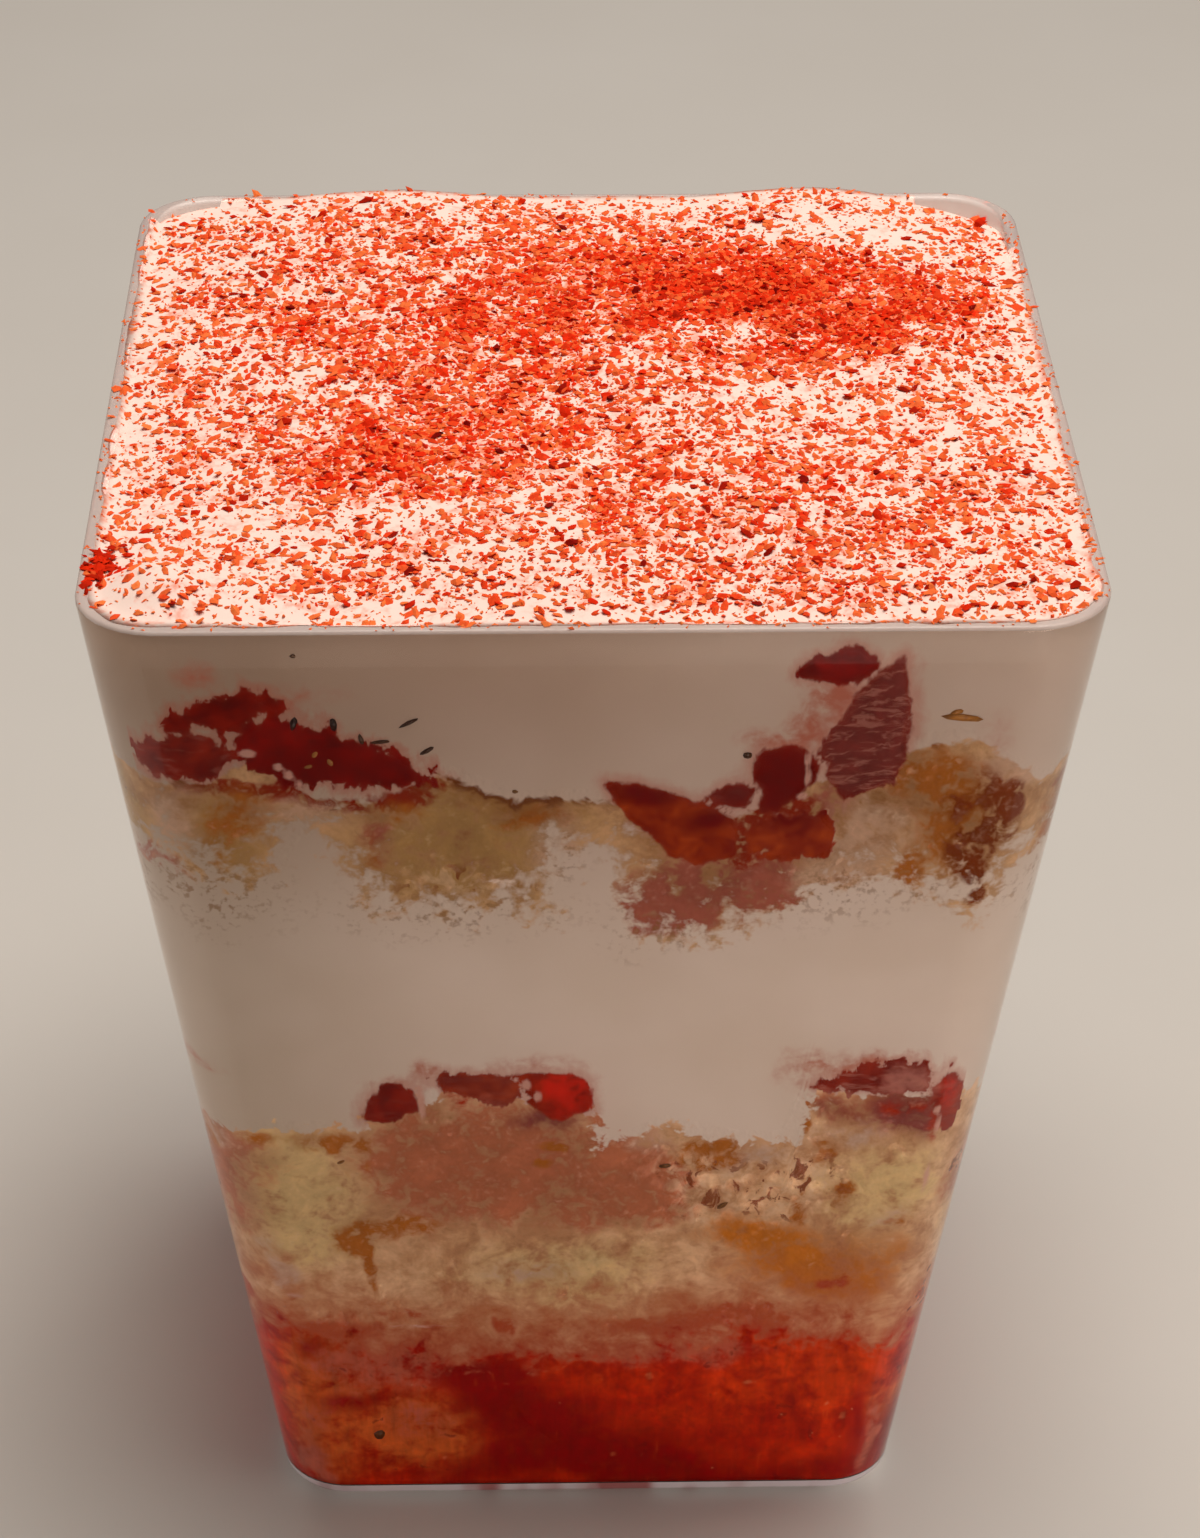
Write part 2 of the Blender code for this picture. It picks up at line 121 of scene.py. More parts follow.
# Where each layer ends along the front: (millimetres from the middle, height in millimetres)
BOUNDARIES = {
    "compote_top": (
        (-21, 16), (-10, 12.8), (3, 13.4), (9, 15.6), (21, 14.4),
    ),
    "lower_cake_top": (
        (-25, 34.2), (-15.4, 34.6), (-14.4, 36.4), (-8, 37.6), (-0.4, 36.6), (0.8, 32.2), (5, 34.6),
        (10, 33.2), (13.6, 33.2), (14.6, 37), (20, 37.6), (25, 36.4),
    ),
    "upper_cake_bottom": (
        (-27, 59.4), (-24.6, 57.2), (-20.6, 56.2), (-19.2, 59.4), (-16, 59.8), (-14.8, 55.6), (-12, 53.2),
        (-4, 53), (-2.2, 58), (1.4, 58.8), (2.6, 53.4), (4, 51.4), (8, 51.6), (13, 54), (18.6, 56),
        (20, 54.6), (22, 55.4), (23.4, 53), (25.4, 54), (27, 57.6),
    ),
    "upper_cake_top": (
        (-28, 62.8), (-23.6, 62.8), (-21, 64.4), (-17, 61.6), (-13, 61.4), (-9.6, 63.2), (-5, 61.2),
        (1, 61.2), (6, 58.4), (13, 62.2), (16.4, 64.6), (23, 65.6), (25.4, 63.8), (28, 61.8),
    ),
}

# Coloured places at the front, in millimetres: middle along the side, height, reach to each side, rise up and
# down, and strength. The other sides get the same kinds of places, drawn by lot.
Spot = namedtuple("Spot", "at height reach rise strength")
Tone = namedtuple("Tone", "colour breakup softness spots")


def srgb(red, green, blue):
    """A colour given in 0 to 255 steps, in the linear light that shaders use."""
    shares = [step / 255 for step in (red, green, blue)]
    linear = [((share + 0.055) / 1.055) ** 2.4 if share > 0.04 else share / 12.92 for share in shares]
    return (*linear, 1.0)


def make_spots(*places):
    return [Spot(*place) for place in places]


def make_tone(colour, breakup, softness, *places):
    """A colour, how much noise breaks it up, how soft its edges are, and the spots where it lies."""
    return Tone(srgb(*colour), breakup, softness, make_spots(*places))


# The tones of each food, painted one over the other
COMPOTE_TONES = {
    "flesh": make_tone(
        (222, 104, 42), 1.6, 0.8,
        (-12.4, 6.2, 4.2, 3.2, 1.0), (-18.6, 12.4, 3, 4.4, 0.85), (-20, 6, 2.2, 4.6, 0.95),
        (-17, 16, 3, 1.4, 0.5), (20.6, 8, 1.2, 4, 0.5),
    ),
    "bright": make_tone(
        (224, 66, 6), 1.8, 0.9,
        (17.5, 12.4, 4, 3, 0.9), (12, 10, 6, 4, 0.5), (-1, 12, 5, 1.4, 0.5), (12, 15.4, 4, 1, 0.7),
    ),
    "dark": make_tone(
        (158, 0, 0), 1.5, 0.9,
        (-6.2, 9.4, 3.0, 2.2, 1.0), (-3.6, 6.6, 3.4, 3.0, 1.0), (-0.4, 4.2, 4.4, 2.8, 1.0),
        (5, 2.6, 4.5, 2.0, 0.95), (-8.4, 11.6, 2.6, 0.9, 0.9), (-7, 2.4, 4, 1.6, 0.8),
        (14, 1.8, 7, 1.0, 0.7), (-17.6, 9.2, 2.2, 0.9, 0.7), (-19, 14.6, 1.4, 1.0, 0.7),
        (-14.6, 9.4, 2.6, 0.6, 0.6), (18.8, 7, 0.7, 2.8, 0.6), (14.6, 8, 0.8, 3.4, 0.4),
        (8.6, 7, 0.8, 3, 0.35),
    ),
    "veil": make_tone(
        (202, 100, 74), 2.2, 0.7,
        (-13, 13.6, 3.0, 3.0, 0.95), (-17.5, 12.5, 2.0, 2.2, 0.6), (-8, 15.6, 5, 1.8, 1.0),
        (1, 14.6, 7, 1.6, 0.95), (10.5, 13.8, 2.4, 0.9, 0.6), (-19.5, 7.4, 1.6, 1.8, 0.5),
        (-12.0, 7.0, 2.2, 1.5, 0.6), (20.4, 4.5, 0.8, 2.8, 0.8), (19.6, 11, 1.2, 1.6, 0.15),
        (-20.3, 2.8, 1.4, 2.2, 1.0),
    ),
    "pips": make_tone(
        (232, 116, 70), 0.2, 0.5,
        (4.2, 11.4, 0.3, 0.24, 1.0), (8.2, 14.2, 0.3, 0.28, 1.0), (11.2, 10.6, 0.34, 0.2, 1.0),
        (17.9, 7.2, 0.26, 0.34, 1.0), (16.8, 8.4, 0.22, 0.2, 0.9), (-10.2, 3.4, 0.22, 0.28, 0.8),
        (1.8, 3.6, 0.3, 0.22, 0.8), (-13.4, 9.2, 0.3, 0.3, 0.7),
    ),
}
LOWER_TONES = {
    "yellow": make_tone(
        (230, 200, 146), 2.0, 0.8,
        (-20, 29.4, 4.6, 5.2, 1.0), (-19, 24.5, 3.6, 2, 0.6), (19.8, 28.6, 3.6, 4.2, 0.9),
        (-2, 21.8, 6, 2.8, 0.9),
    ),
    "soaked": make_tone(
        (194, 118, 84), 1.8, 0.6,
        (-10.8, 31.4, 4.6, 5.2, 1.0), (-3.6, 31.8, 4.6, 5.0, 1.0), (1.8, 29.6, 3.6, 3.0, 0.9),
        (4.8, 28.2, 2.6, 1.8, 0.8), (3.6, 31.4, 1.8, 1.8, 0.8), (19.4, 34.8, 2.8, 1.8, 0.6),
        (18.6, 36.8, 4.2, 1.0, 0.9),
    ),
    "syrup": make_tone(
        (206, 124, 40), 1.1, 0.7,
        (14.6, 22.4, 4.2, 2.4, 1.0), (11, 25, 3, 1.2, 1.0), (21, 23, 1.4, 1.6, 0.5),
        (17.4, 20.2, 2.8, 1.6, 1.0),
    ),
    "filmed": make_tone(
        (212, 178, 156), 2.2, 0.7,
        (17.4, 33.8, 2.6, 1.2, 0.6), (20.4, 25.4, 2.2, 2.0, 0.5), (-4.4, 21.8, 3.4, 1.4, 0.6),
        (10.6, 31.8, 3.8, 1.2, 0.7), (-22.6, 24, 1.4, 1.6, 0.5), (-21, 20.8, 1.2, 1.5, 0.8),
        (4, 33.2, 1.6, 0.9, 0.5), (-17, 33, 1.6, 0.9, 0.4), (-11.1, 36.4, 0.3, 1.6, 0.7),
    ),
    "browned": make_tone(
        (182, 108, 40), 2.6, 0.6,
        (7.8, 32.1, 1.9, 1.3, 1.0), (-2.2, 32.8, 1.0, 0.45, 1.0), (-3.0, 31.4, 0.8, 0.35, 0.9),
        (-16, 24.4, 1.3, 1.2, 0.9), (-15.2, 25.8, 0.4, 1.0, 0.9), (-14.6, 22.2, 0.35, 2.2, 0.8),
        (16.9, 28.4, 0.7, 1.1, 1.0), (15.7, 32.3, 0.8, 1.2, 0.9), (-17.4, 33.6, 2.4, 0.9, 0.7),
        (-14.9, 32.4, 0.5, 1.6, 0.5), (14.2, 34.9, 0.4, 1.6, 1.0), (14.1, 27, 0.6, 1.2, 1.0),
        (-22.6, 33.8, 1.6, 0.6, 0.5), (-12.6, 25.8, 3.6, 1.0, 0.6), (21, 25.4, 1.4, 0.7, 0.6),
        (1.4, 20.2, 1.2, 0.5, 0.5), (-3.8, 26.6, 1.4, 0.5, 0.4),
    ),
    "stained": make_tone(
        (146, 74, 68), 1.2, 0.7,
        (20.2, 36.0, 2.8, 1.5, 1.0), (21.6, 34.2, 1.2, 1.6, 0.6), (15.6, 36.4, 1.4, 0.8, 0.5),
        (-3, 35.4, 2.4, 1.0, 0.8),
    ),
    "jam": make_tone(
        (176, 46, 14), 2.4, 0.6,
        (16.8, 20.0, 1.6, 0.5, 0.9), (17.6, 20.9, 0.5, 0.9, 0.8), (-18, 16.2, 2.4, 0.8, 0.9),
        (-5.6, 16.4, 0.7, 1.0, 0.9), (2.6, 16.6, 1.8, 0.7, 0.9), (6.4, 16.8, 2.6, 0.7, 0.7),
        (11, 17.0, 3.2, 0.8, 0.9), (-13, 17.8, 2.2, 0.5, 0.6), (20.6, 36.2, 2.2, 0.8, 0.6),
        (22.6, 34.4, 0.8, 1.6, 0.6), (-6.6, 37.6, 2.6, 0.5, 0.7),
    ),
}
UPPER_TONES = {
    "olive": make_tone(
        (186, 146, 92), 2.0, 0.8,
        (-8.2, 58.0, 5.4, 3.8, 1.0), (-22.4, 58.4, 2.8, 3.4, 0.9), (-4, 60, 3, 1.4, 0.7),
    ),
    "soaked": make_tone(
        (172, 96, 78), 2.2, 0.6,
        (6.4, 54.0, 4.2, 2.6, 1.0), (10.6, 55.2, 3, 1.8, 0.9), (4, 52.2, 1.8, 1.2, 0.9),
        (14, 59.6, 1.8, 2, 0.6), (15.2, 63, 1.4, 2.4, 0.7), (-13.6, 58.4, 1.0, 1.8, 0.7),
    ),
    "bled": make_tone(
        (150, 44, 18), 2.4, 0.5,
        (-12.6, 61.7, 2.8, 1.1, 1.0), (-19.4, 62.0, 3.4, 0.8, 0.8), (-25, 62.6, 2.2, 0.7, 0.7),
        (11.6, 59.6, 2.8, 1.4, 1.0), (8.6, 57.4, 2.4, 1.0, 0.8), (6.6, 60.3, 0.8, 0.7, 0.7),
        (-16.8, 61.0, 2.0, 0.5, 0.6),
    ),
    "filmed": make_tone(
        (208, 170, 142), 2.2, 0.8,
        (16.6, 57.8, 3.0, 2.4, 0.9), (16.8, 60.8, 2.0, 2.0, 0.6), (-26, 60.2, 1.6, 2.6, 0.95),
        (25.4, 63.4, 2.2, 1.6, 0.9), (-2.4, 57.6, 1.4, 2.6, 0.8), (-18, 60.4, 2.6, 0.9, 0.7),
        (14.2, 55, 2, 1, 0.7),
    ),
    "browned": make_tone(
        (178, 106, 42), 2.4, 0.7,
        (20.4, 62.8, 2.8, 2.0, 0.95), (22.0, 58.8, 1.7, 3.4, 1.0), (17.8, 63.4, 1.4, 0.8, 0.6),
        (-12.2, 60.4, 1.4, 0.8, 0.6), (-21.4, 60.4, 1.8, 1.8, 0.7), (-23.4, 57.4, 1.4, 1.8, 0.5),
        (-13.9, 57.2, 0.6, 2, 0.5), (-3.8, 59.8, 2.0, 0.9, 0.8), (19.6, 55.2, 0.6, 1.7, 0.9),
    ),
    "crust": make_tone(
        (130, 56, 16), 2.8, 0.6,
        (24.0, 58.8, 1.5, 3.6, 0.95), (23.8, 54.6, 0.9, 1.6, 1.0), (25.8, 60.4, 0.8, 1.6, 0.8),
        (21.8, 60.4, 0.8, 1.0, 0.6), (22.6, 56.8, 0.8, 1.4, 0.7),
    ),
}
CREAM_TONES = {
    "juice": make_tone(
        (200, 122, 100), 2.0, 0.9,
        (-23.8, 70.3, 1.2, 0.9, 0.6), (-18, 69.4, 3, 0.9, 0.4), (14.2, 68.4, 1.7, 1.6, 0.7),
        (12.4, 66.4, 0.8, 1.6, 0.5), (10.8, 65.6, 1.8, 0.7, 0.6), (-10.8, 39.7, 0.9, 0.7, 0.7),
        (-13.6, 38.5, 1.4, 0.6, 0.5), (-4, 39.8, 3, 0.5, 0.45), (17.4, 40.2, 3.2, 0.9, 0.6),
        (13.6, 39.0, 1.6, 1.4, 0.5), (24.6, 66, 1.2, 2, 0.3),
    ),
}
# Painted highlights: pale glints of light on wet places along the wall and at the cup's corners, laid into
# the sides' colour
PAINTED_GLINTS = make_tone(
    (226, 176, 160), 0.3, 0.4,
    (-20.9, 64.9, 0.5, 0.3, 0.9), (-19.1, 63.9, 0.3, 0.3, 0.8), (-18.5, 63.3, 0.3, 0.4, 0.8),
    (-17.9, 62.6, 0.3, 0.4, 0.7), (12.9, 64.2, 0.22, 0.7, 0.8), (13.0, 62.8, 0.22, 0.7, 0.8),
    (12.7, 61.4, 0.4, 0.3, 0.8), (-11.1, 36.8, 0.25, 1.6, 0.8), (-4.2, 38.2, 0.3, 0.5, 0.8),
    (-3.5, 37.2, 0.3, 0.5, 0.8), (22.8, 35.6, 0.3, 0.4, 0.8), (23, 34.2, 0.25, 0.9, 0.8),
    (-12, 16.4, 2.4, 0.18, 0.6), (22.6, 29.6, 0.4, 1.6, 0.6), (-20.2, 19.4, 0.8, 0.3, 0.6),
)
# Each cake: its material, the foods that show round it, its ends, how far it runs on under the lower one,
# where it is open and crumbly, and the lot that draws such places on the plain sides
Cake = namedtuple("Cake", "finish foods bottom top under pored lot")
CAKES = {
    "lower": Cake(
        finish="soaked_sponge",
        foods=("compote", "lower_cake", "fruit"),
        bottom="compote_top",
        top="lower_cake_top",
        under=3.6 * MM,
        pored=make_spots(
            (11.8, 28.8, 4.6, 2.2, 1.0), (6.4, 30.6, 2.2, 1.6, 0.8), (14.6, 31.6, 1.8, 1.4, 0.7),
            (7.6, 27.4, 2, 1.4, 0.6),
        ),
        lot=3,
    ),
    "upper": Cake(
        finish="torn_sponge",
        foods=("upper_cake", "fruit"),
        bottom="upper_cake_bottom",
        top="upper_cake_top",
        under=3.4 * MM,
        pored=make_spots((-8, 55.2, 5, 1.4, 0.6), (24, 58.6, 2, 4, 0.35), (16, 56, 3, 2, 0.4)),
        lot=4,
    ),
}
# Where crumbs have strayed into the cream, and where a cake's brown skin shows as a line along its top
STRAYED = make_spots(
    (-23.4, 53.8, 3.4, 2.4, 1.0), (-2.2, 57.4, 1.4, 2.0, 0.9), (15.6, 54.2, 3.4, 2.2, 1.0),
    (5, 51.2, 3.4, 1.5, 1.0), (-9, 52.8, 6, 1.4, 1.0), (20.6, 53.8, 2, 1.4, 0.7), (10, 53.6, 2.6, 1.2, 0.7),
)
# The strawberries' own tones at the front
FRUIT_TONES = {
    "bright": make_tone(
        (214, 34, 12), 1.6, 0.9,
        (-1.7, 37.3, 1.9, 2.0, 0.95), (23.4, 37.4, 1.2, 1.8, 0.5),
    ),
    "deep": make_tone(
        (116, 2, 0), 1.2, 0.8,
        (12.4, 61.0, 3.0, 1.4, 1.0), (10.4, 63, 2.4, 2.2, 0.8), (2.8, 61.8, 2.4, 0.9, 0.9),
        (7.2, 59.6, 1.8, 0.8, 0.8), (-17, 63.4, 8, 1.6, 0.6),
    ),
    "washed": make_tone(
        (190, 118, 106), 1.0, 0.7,
        (20.5, 38.2, 1.8, 1.5, 1.0), (16.4, 37.2, 2, 0.5, 0.7), (-7.4, 36.6, 2.4, 0.6, 0.6),
    ),
}
TONES = {
    "compote": COMPOTE_TONES,
    "lower": LOWER_TONES,
    "upper": UPPER_TONES,
    "cream": CREAM_TONES,
    "fruit": FRUIT_TONES,
}
SKINNED = make_spots(
    (-4.4, 61.8, 5, 2.4, 1.0), (-25.4, 62.4, 1.6, 1.2, 0.5), (21, 64.8, 2.6, 0.8, 0.3),
)


# Shader building


def maths(operation, swapped=False):
    """A method that adds a Math node; swapped puts its own value last."""

    def method(self, *others):
        values = (*others, self) if swapped else (self, *others)
        return self.paint.node("ShaderNodeMath", {"operation": operation}, dict(enumerate(values)))

    return method


class Wire:
    """A socket of a material's nodes, as a Python value: arithmetic on it adds Math nodes."""

    def __init__(self, paint, socket):
        self.paint = paint
        self.socket = socket

    __add__, __radd__ = maths("ADD"), maths("ADD", True)
    __sub__, __rsub__ = maths("SUBTRACT"), maths("SUBTRACT", True)
    __mul__, __rmul__ = maths("MULTIPLY"), maths("MULTIPLY", True)
    at_most, at_least = maths("MINIMUM"), maths("MAXIMUM")
    size, wave = maths("ABSOLUTE"), maths("SINE")

    def step(self, low, high):
        """0 below low, 1 above high and smooth between."""
        inputs = {"Value": self, "From Min": low, "From Max": high}
        return self.paint.node("ShaderNodeMapRange", {"interpolation_type": "SMOOTHSTEP"}, inputs)

    def hump(self, middle, reach):
        """1 at the middle, falling to 0 at the reach to either side."""
        return (self - middle).size().step(reach, 0.2 * reach)


class Paint:
    """One material, whose nodes are made by calls."""

    def __init__(self, name):
        self.material = bpy.data.materials.new(name)
        self.material.use_nodes = True
        self.tree = self.material.node_tree
        self.shader = self.tree.nodes["Principled BSDF"]
        self.place = self.node("ShaderNodeTexCoord", out="Object")
        self.across = self.node("ShaderNodeSeparateXYZ", None, {0: self.place})

    def node(self, kind, settings=None, inputs=None, out=0):
        """Adds a node, applies its settings and then its socket values or links, and gives one output."""
        made = self.tree.nodes.new(kind)
        for key, value in (settings or {}).items():
            setattr(made, key, value)
        for key, value in (inputs or {}).items():
            self.feed(made.inputs[key], value)
        return Wire(self, made.outputs[out])

    def feed(self, socket, value):
        if isinstance(value, Wire):
            self.tree.links.new(value.socket, socket)
        else:
            socket.default_value = value

    def noise(self, size, detail=3.0, roughness=0.55, warp=0.0, stretch=None):
        """Noise from 0 to 1 with lumps of this size in metres."""
        place = self.place
        if stretch:
            place = self.node("ShaderNodeVectorMath", {"operation": "MULTIPLY"}, {0: place, 1: stretch})
        inputs = {"Vector": place, "Scale": 1 / size, "Detail": detail, "Roughness": roughness}
        return self.node("ShaderNodeTexNoise", None, {**inputs, "Distortion": warp})

    def uneven(self, size, detail=4.0, roughness=0.65, warp=0.0, stretch=None):
        """Irregularity of about -1 to 1 with lumps of this size in metres."""
        return (self.noise(size, detail, roughness, warp, stretch) - 0.5) * 4

    def shade(self, colour, change):
        """The colour made lighter or darker by a share."""
        return self.node("ShaderNodeHueSaturation", None, {"Value": 1 + change, "Color": colour})

    def carried(self, name):
        """A number that the mesh carries at each point."""
        return self.node("ShaderNodeAttribute", {"attribute_name": name}, out="Fac")

    def blend(self, share, low, high, how="MIX"):
        """The colour low where share is 0, high where it is 1."""
        settings = {"data_type": "RGBA", "blend_type": how}
        return self.node("ShaderNodeMix", settings, {0: share, 6: low, 7: high}, out=2)

    def darken(self, share, colour, by):
        return self.blend(share, colour, by, "MULTIPLY")

    def bump(self, height, strength, depth):
        return self.node("ShaderNodeBump", None, {"Strength": strength, "Distance": depth, "Height": height})

    def finish(self, colour, roughness, bump=None, **constants):
        """Feeds the surface and sets its constants, each on the shader's own socket."""
        self.feed(self.shader.inputs["Base Color"], colour)
        self.feed(self.shader.inputs["Roughness"], roughness)
        if bump:
            self.feed(self.shader.inputs["Normal"], bump)
        for key, value in constants.items():
            self.shader.inputs[key.replace("_", " ")].default_value = value
        return self.material


# Form: the tapered square that the cup and its fill share


def mix(low, high, share):
    return low + (high - low) * share


def half_width(height):
    """Half of the cup's outer width at a height."""
    return mix(BASE_WIDTH, RIM_WIDTH, height / CUP_HEIGHT) / 2


def corner_radius(height):
    return mix(BASE_CORNER, RIM_CORNER, height / CUP_HEIGHT)


class Outline:
    """Places round the square, anticlockwise from the front's left corner, with the same number a side."""

    def __init__(self, steps):
        self.count = 4 * steps
        self.side = np.repeat(np.arange(4), steps)
        self.along = np.tile(np.arange(steps) / steps * 2 - 1, 4)
        self.turn = self.side + (self.along + 1) / 2

    def points(self, height, inset):
        """x and y at heights and insets from the outer wall, one for each place in every row."""
        return wall_points(self.side, self.along, height, inset)


def wall_points(side, along, height, inset):
    """x and y of places on the sides, from -1 to 1 along each, half a corner at either end."""
    half = half_width(height) - inset
    radius = np.maximum(corner_radius(height) - inset, 0.5 * MM)
    straight = half - radius
    arc = math.pi / 4 * radius
    corner_share = arc / (straight + arc)
    flat_share = np.minimum(np.abs(along) / (1 - corner_share), 1)
    angle = np.clip((np.abs(along) - (1 - corner_share)) / corner_share, 0, 1) * math.pi / 4
    x = np.sign(along) * (flat_share * straight + radius * np.sin(angle))
    y = -(straight + radius * np.cos(angle))
    cos, sin = np.cos(side * math.pi / 2), np.sin(side * math.pi / 2)
    return x * cos - y * sin, x * sin + y * cos


def wall_distance(points):
    """How far points stand in from the outer wall, and the level direction outwards at each."""
    x, y, z = points.T
    radius = corner_radius(z)
    reach = half_width(z) - radius
    beyond = np.stack((np.abs(x) - reach, np.abs(y) - reach), axis=1)
    outside = np.maximum(beyond, 0)
    length = np.hypot(*outside.T)
    inset = radius - length - np.minimum(beyond.max(axis=1), 0)
    on_corner = (length > 0)[:, None]
    facing_x = (beyond[:, 0] > beyond[:, 1])[:, None]
    plain = np.where(facing_x, (1.0, 0.0), (0.0, 1.0))
    way = np.where(on_corner, outside / np.maximum(length, 1e-9)[:, None], plain)
    return inset, way * np.where(points[:, :2] < 0, -1, 1)


def stations(name):
    """Where a layer's end runs: turns round the square and heights in millimetres; plain sides are seeded."""
    draw = random.Random(f"{name}{SEED}")
    front = BOUNDARIES[name]
    heights = [z for _, z in front]
    turns = [(x * MM / half_width(z * MM) + 1) / 2 for x, z in front]
    mean = sum(heights) / len(heights)
    swing = (max(heights) - min(heights)) * PLAIN_SIDE_SWING
    for side in (RIGHT, BACK, LEFT):
        for station in range(STATIONS_PER_SIDE):
            turns.append(side + (station + draw.uniform(0.3, 0.7)) / STATIONS_PER_SIDE)
            heights.append(mean + draw.uniform(-swing, swing))
    order = np.argsort(turns)
    return np.array(turns)[order], np.array(heights)[order]


STATIONS = {name: stations(name) for name in BOUNDARIES}


def end_of(name, turn):
    """The height in metres where a layer ends, at turns round the square."""
    return np.interp(turn, *STATIONS[name], period=4) * MM


def away_from(path, spots):
    """How far spots are from the nearest of a path's straight pieces, all in a flat plane."""
    nearest = np.full(len(spots), np.inf)
    for start, end in path:
        along = end - start
        offset = spots - start
        share = np.clip(offset @ along / max(along @ along, 1e-12), 0, 1)
        nearest = np.minimum(nearest, np.hypot(*(offset - share[:, None] * along).T))
    return nearest


def below(name, turn, height):
    """How far in millimetres points of the wall lie below a layer's end, measured squarely to it."""
    turns, heights = STATIONS[name]
    wide = 2 * half_width(heights.mean() * MM) / MM
    corners = np.stack((np.concatenate((turns - 4, turns, turns + 4)) * wide, np.tile(heights, 3)), axis=1)
    corners = corners[(corners[:, 0] > -wide) & (corners[:, 0] < 5 * wide)]
    turn, height = np.broadcast_arrays(turn, height)
    spots = np.stack((turn.ravel() * wide, height.ravel() / MM), axis=1)
    away = away_from(zip(corners[:-1], corners[1:]), spots).reshape(height.shape)
    return np.where(height < end_of(name, turn), away, -away)


# Irregularity


def hashed(cells, seed):
    """A fixed number from 0 to 1 for each whole-number cell."""
    a, b, c = (cells[..., axis].astype(np.uint32) for axis in range(3))
    mixed = a * np.uint32(73856093) ^ b * np.uint32(19349663) ^ c * np.uint32(83492791)
    mixed = (mixed ^ np.uint32(seed * 7919 + 1)) * np.uint32(2654435761)
    mixed = (mixed ^ (mixed >> np.uint32(15))) * np.uint32(2246822519)
    mixed ^= mixed >> np.uint32(13)
    return (mixed & np.uint32(0xFFFFFF)) / 0x1000000


def lumps(points, size, seed=0):
    """Smooth irregularity from -1 to 1 with lumps of this size."""
    scaled = points / size + 100.5
    cell = np.floor(scaled).astype(np.int64)
    part = scaled - cell
    part = part * part * (3 - 2 * part)
    total = 0.0
    for corner in np.ndindex(2, 2, 2):
        weight = np.prod(np.where(corner, part, 1 - part), axis=-1)
        total = total + weight * hashed(cell + corner, seed)
    return total * 2 - 1


def rough_lumps(points, size, seed=0):
    """Lumps with finer ones on them."""
    return (lumps(points, size, seed) + 0.5 * lumps(points, size * 0.47, seed + 1)) / 1.5


def pores(points, size, seed=0):
    """Depth of rounded pores from 0 to 1, of uneven width, around this far apart."""
    scaled = points / size + 100.5
    cell = np.floor(scaled).astype(np.int64)
    depth = np.zeros(points.shape[:-1])
    for step in np.ndindex(3, 3, 3):
        near = cell + step - 1
        centre = near + np.stack([hashed(near, seed + axis) for axis in range(3)], axis=-1)
        width = 0.25 + 0.45 * hashed(near, seed + 3)
        away = np.linalg.norm(scaled - centre, axis=-1) / width
        depth = np.maximum(depth, np.clip(1 - away * away, 0, 1))
    return depth


def turn_of(points):
    """How far round the square each point lies: 0 at the front's left corner, up to 4."""
    x, y = points[..., 0], points[..., 1]
    across = np.abs(y) >= np.abs(x)
    side = np.where(across, np.where(y < 0, FRONT, BACK), np.where(x > 0, RIGHT, LEFT))
    longer = np.maximum(np.maximum(np.abs(x), np.abs(y)), 1e-9)
    along = np.select([side == FRONT, side == RIGHT, side == BACK], [x, y, -x], -y) / longer
    return side + (along + 1) / 2


def all_round(spots, seed):
    """The front's spots, and as many on each plain side, drawn by lot."""
    draw = random.Random(SEED + seed)
    found = []
    for spot in spots:
        found.append((FRONT, spot))
        for side in (RIGHT, BACK, LEFT):
            half = half_width(spot.height * MM) / MM
            lot = spot._replace(at=draw.uniform(-0.92, 0.92) * half, height=spot.height + draw.uniform(-1, 1))
            found.append((side, lot))
    return found


def marked(spots, seed, turn, height, warp):
    """How strongly each point is covered by the spots, from 0 to 1, with soft edges bent by the warp."""
    clear = np.ones(height.shape)
    half = half_width(height) / MM
    for side, spot in all_round(spots, seed):
        middle = side + (spot.at / (half_width(spot.height * MM) / MM) + 1) / 2
        away = ((turn - middle + 2) % 4 - 2) * 2 * half
        rise = height / MM - spot.height
        bend = min(1.0, 0.4 * (spot.reach + spot.rise) / 2)
        x = (away + warp[0] * bend) / spot.reach
        z = (rise + warp[1] * bend) / spot.rise
        clear = clear * (1 - spot.strength * np.clip((1.8 - np.hypot(x, z)) / 1.6, 0, 1))
    return 1 - clear


Fruit = namedtuple("Fruit", "node side at height reach rise")


def fruits():
    """Where each strawberry piece lies against its side, from its solid's box, in millimetres."""
    found = []
    for node in sorted(frame["nodes"]):
        if not node.startswith("berry_"):
            continue
        low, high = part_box(node)
        middle, size = (low + high) / 2, high - low
        if abs(middle.y) > abs(middle.x):
            side, at, reach = (FRONT, middle.x, size.x) if middle.y < 0 else (BACK, -middle.x, size.x)
        else:
            side, at, reach = (RIGHT, middle.y, size.y) if middle.x > 0 else (LEFT, -middle.y, size.y)
        found.append(Fruit(node, side, at / MM, middle.z / MM, reach / 2 / MM, size.z / 2 / MM))
    return found


FRUITS = fruits()

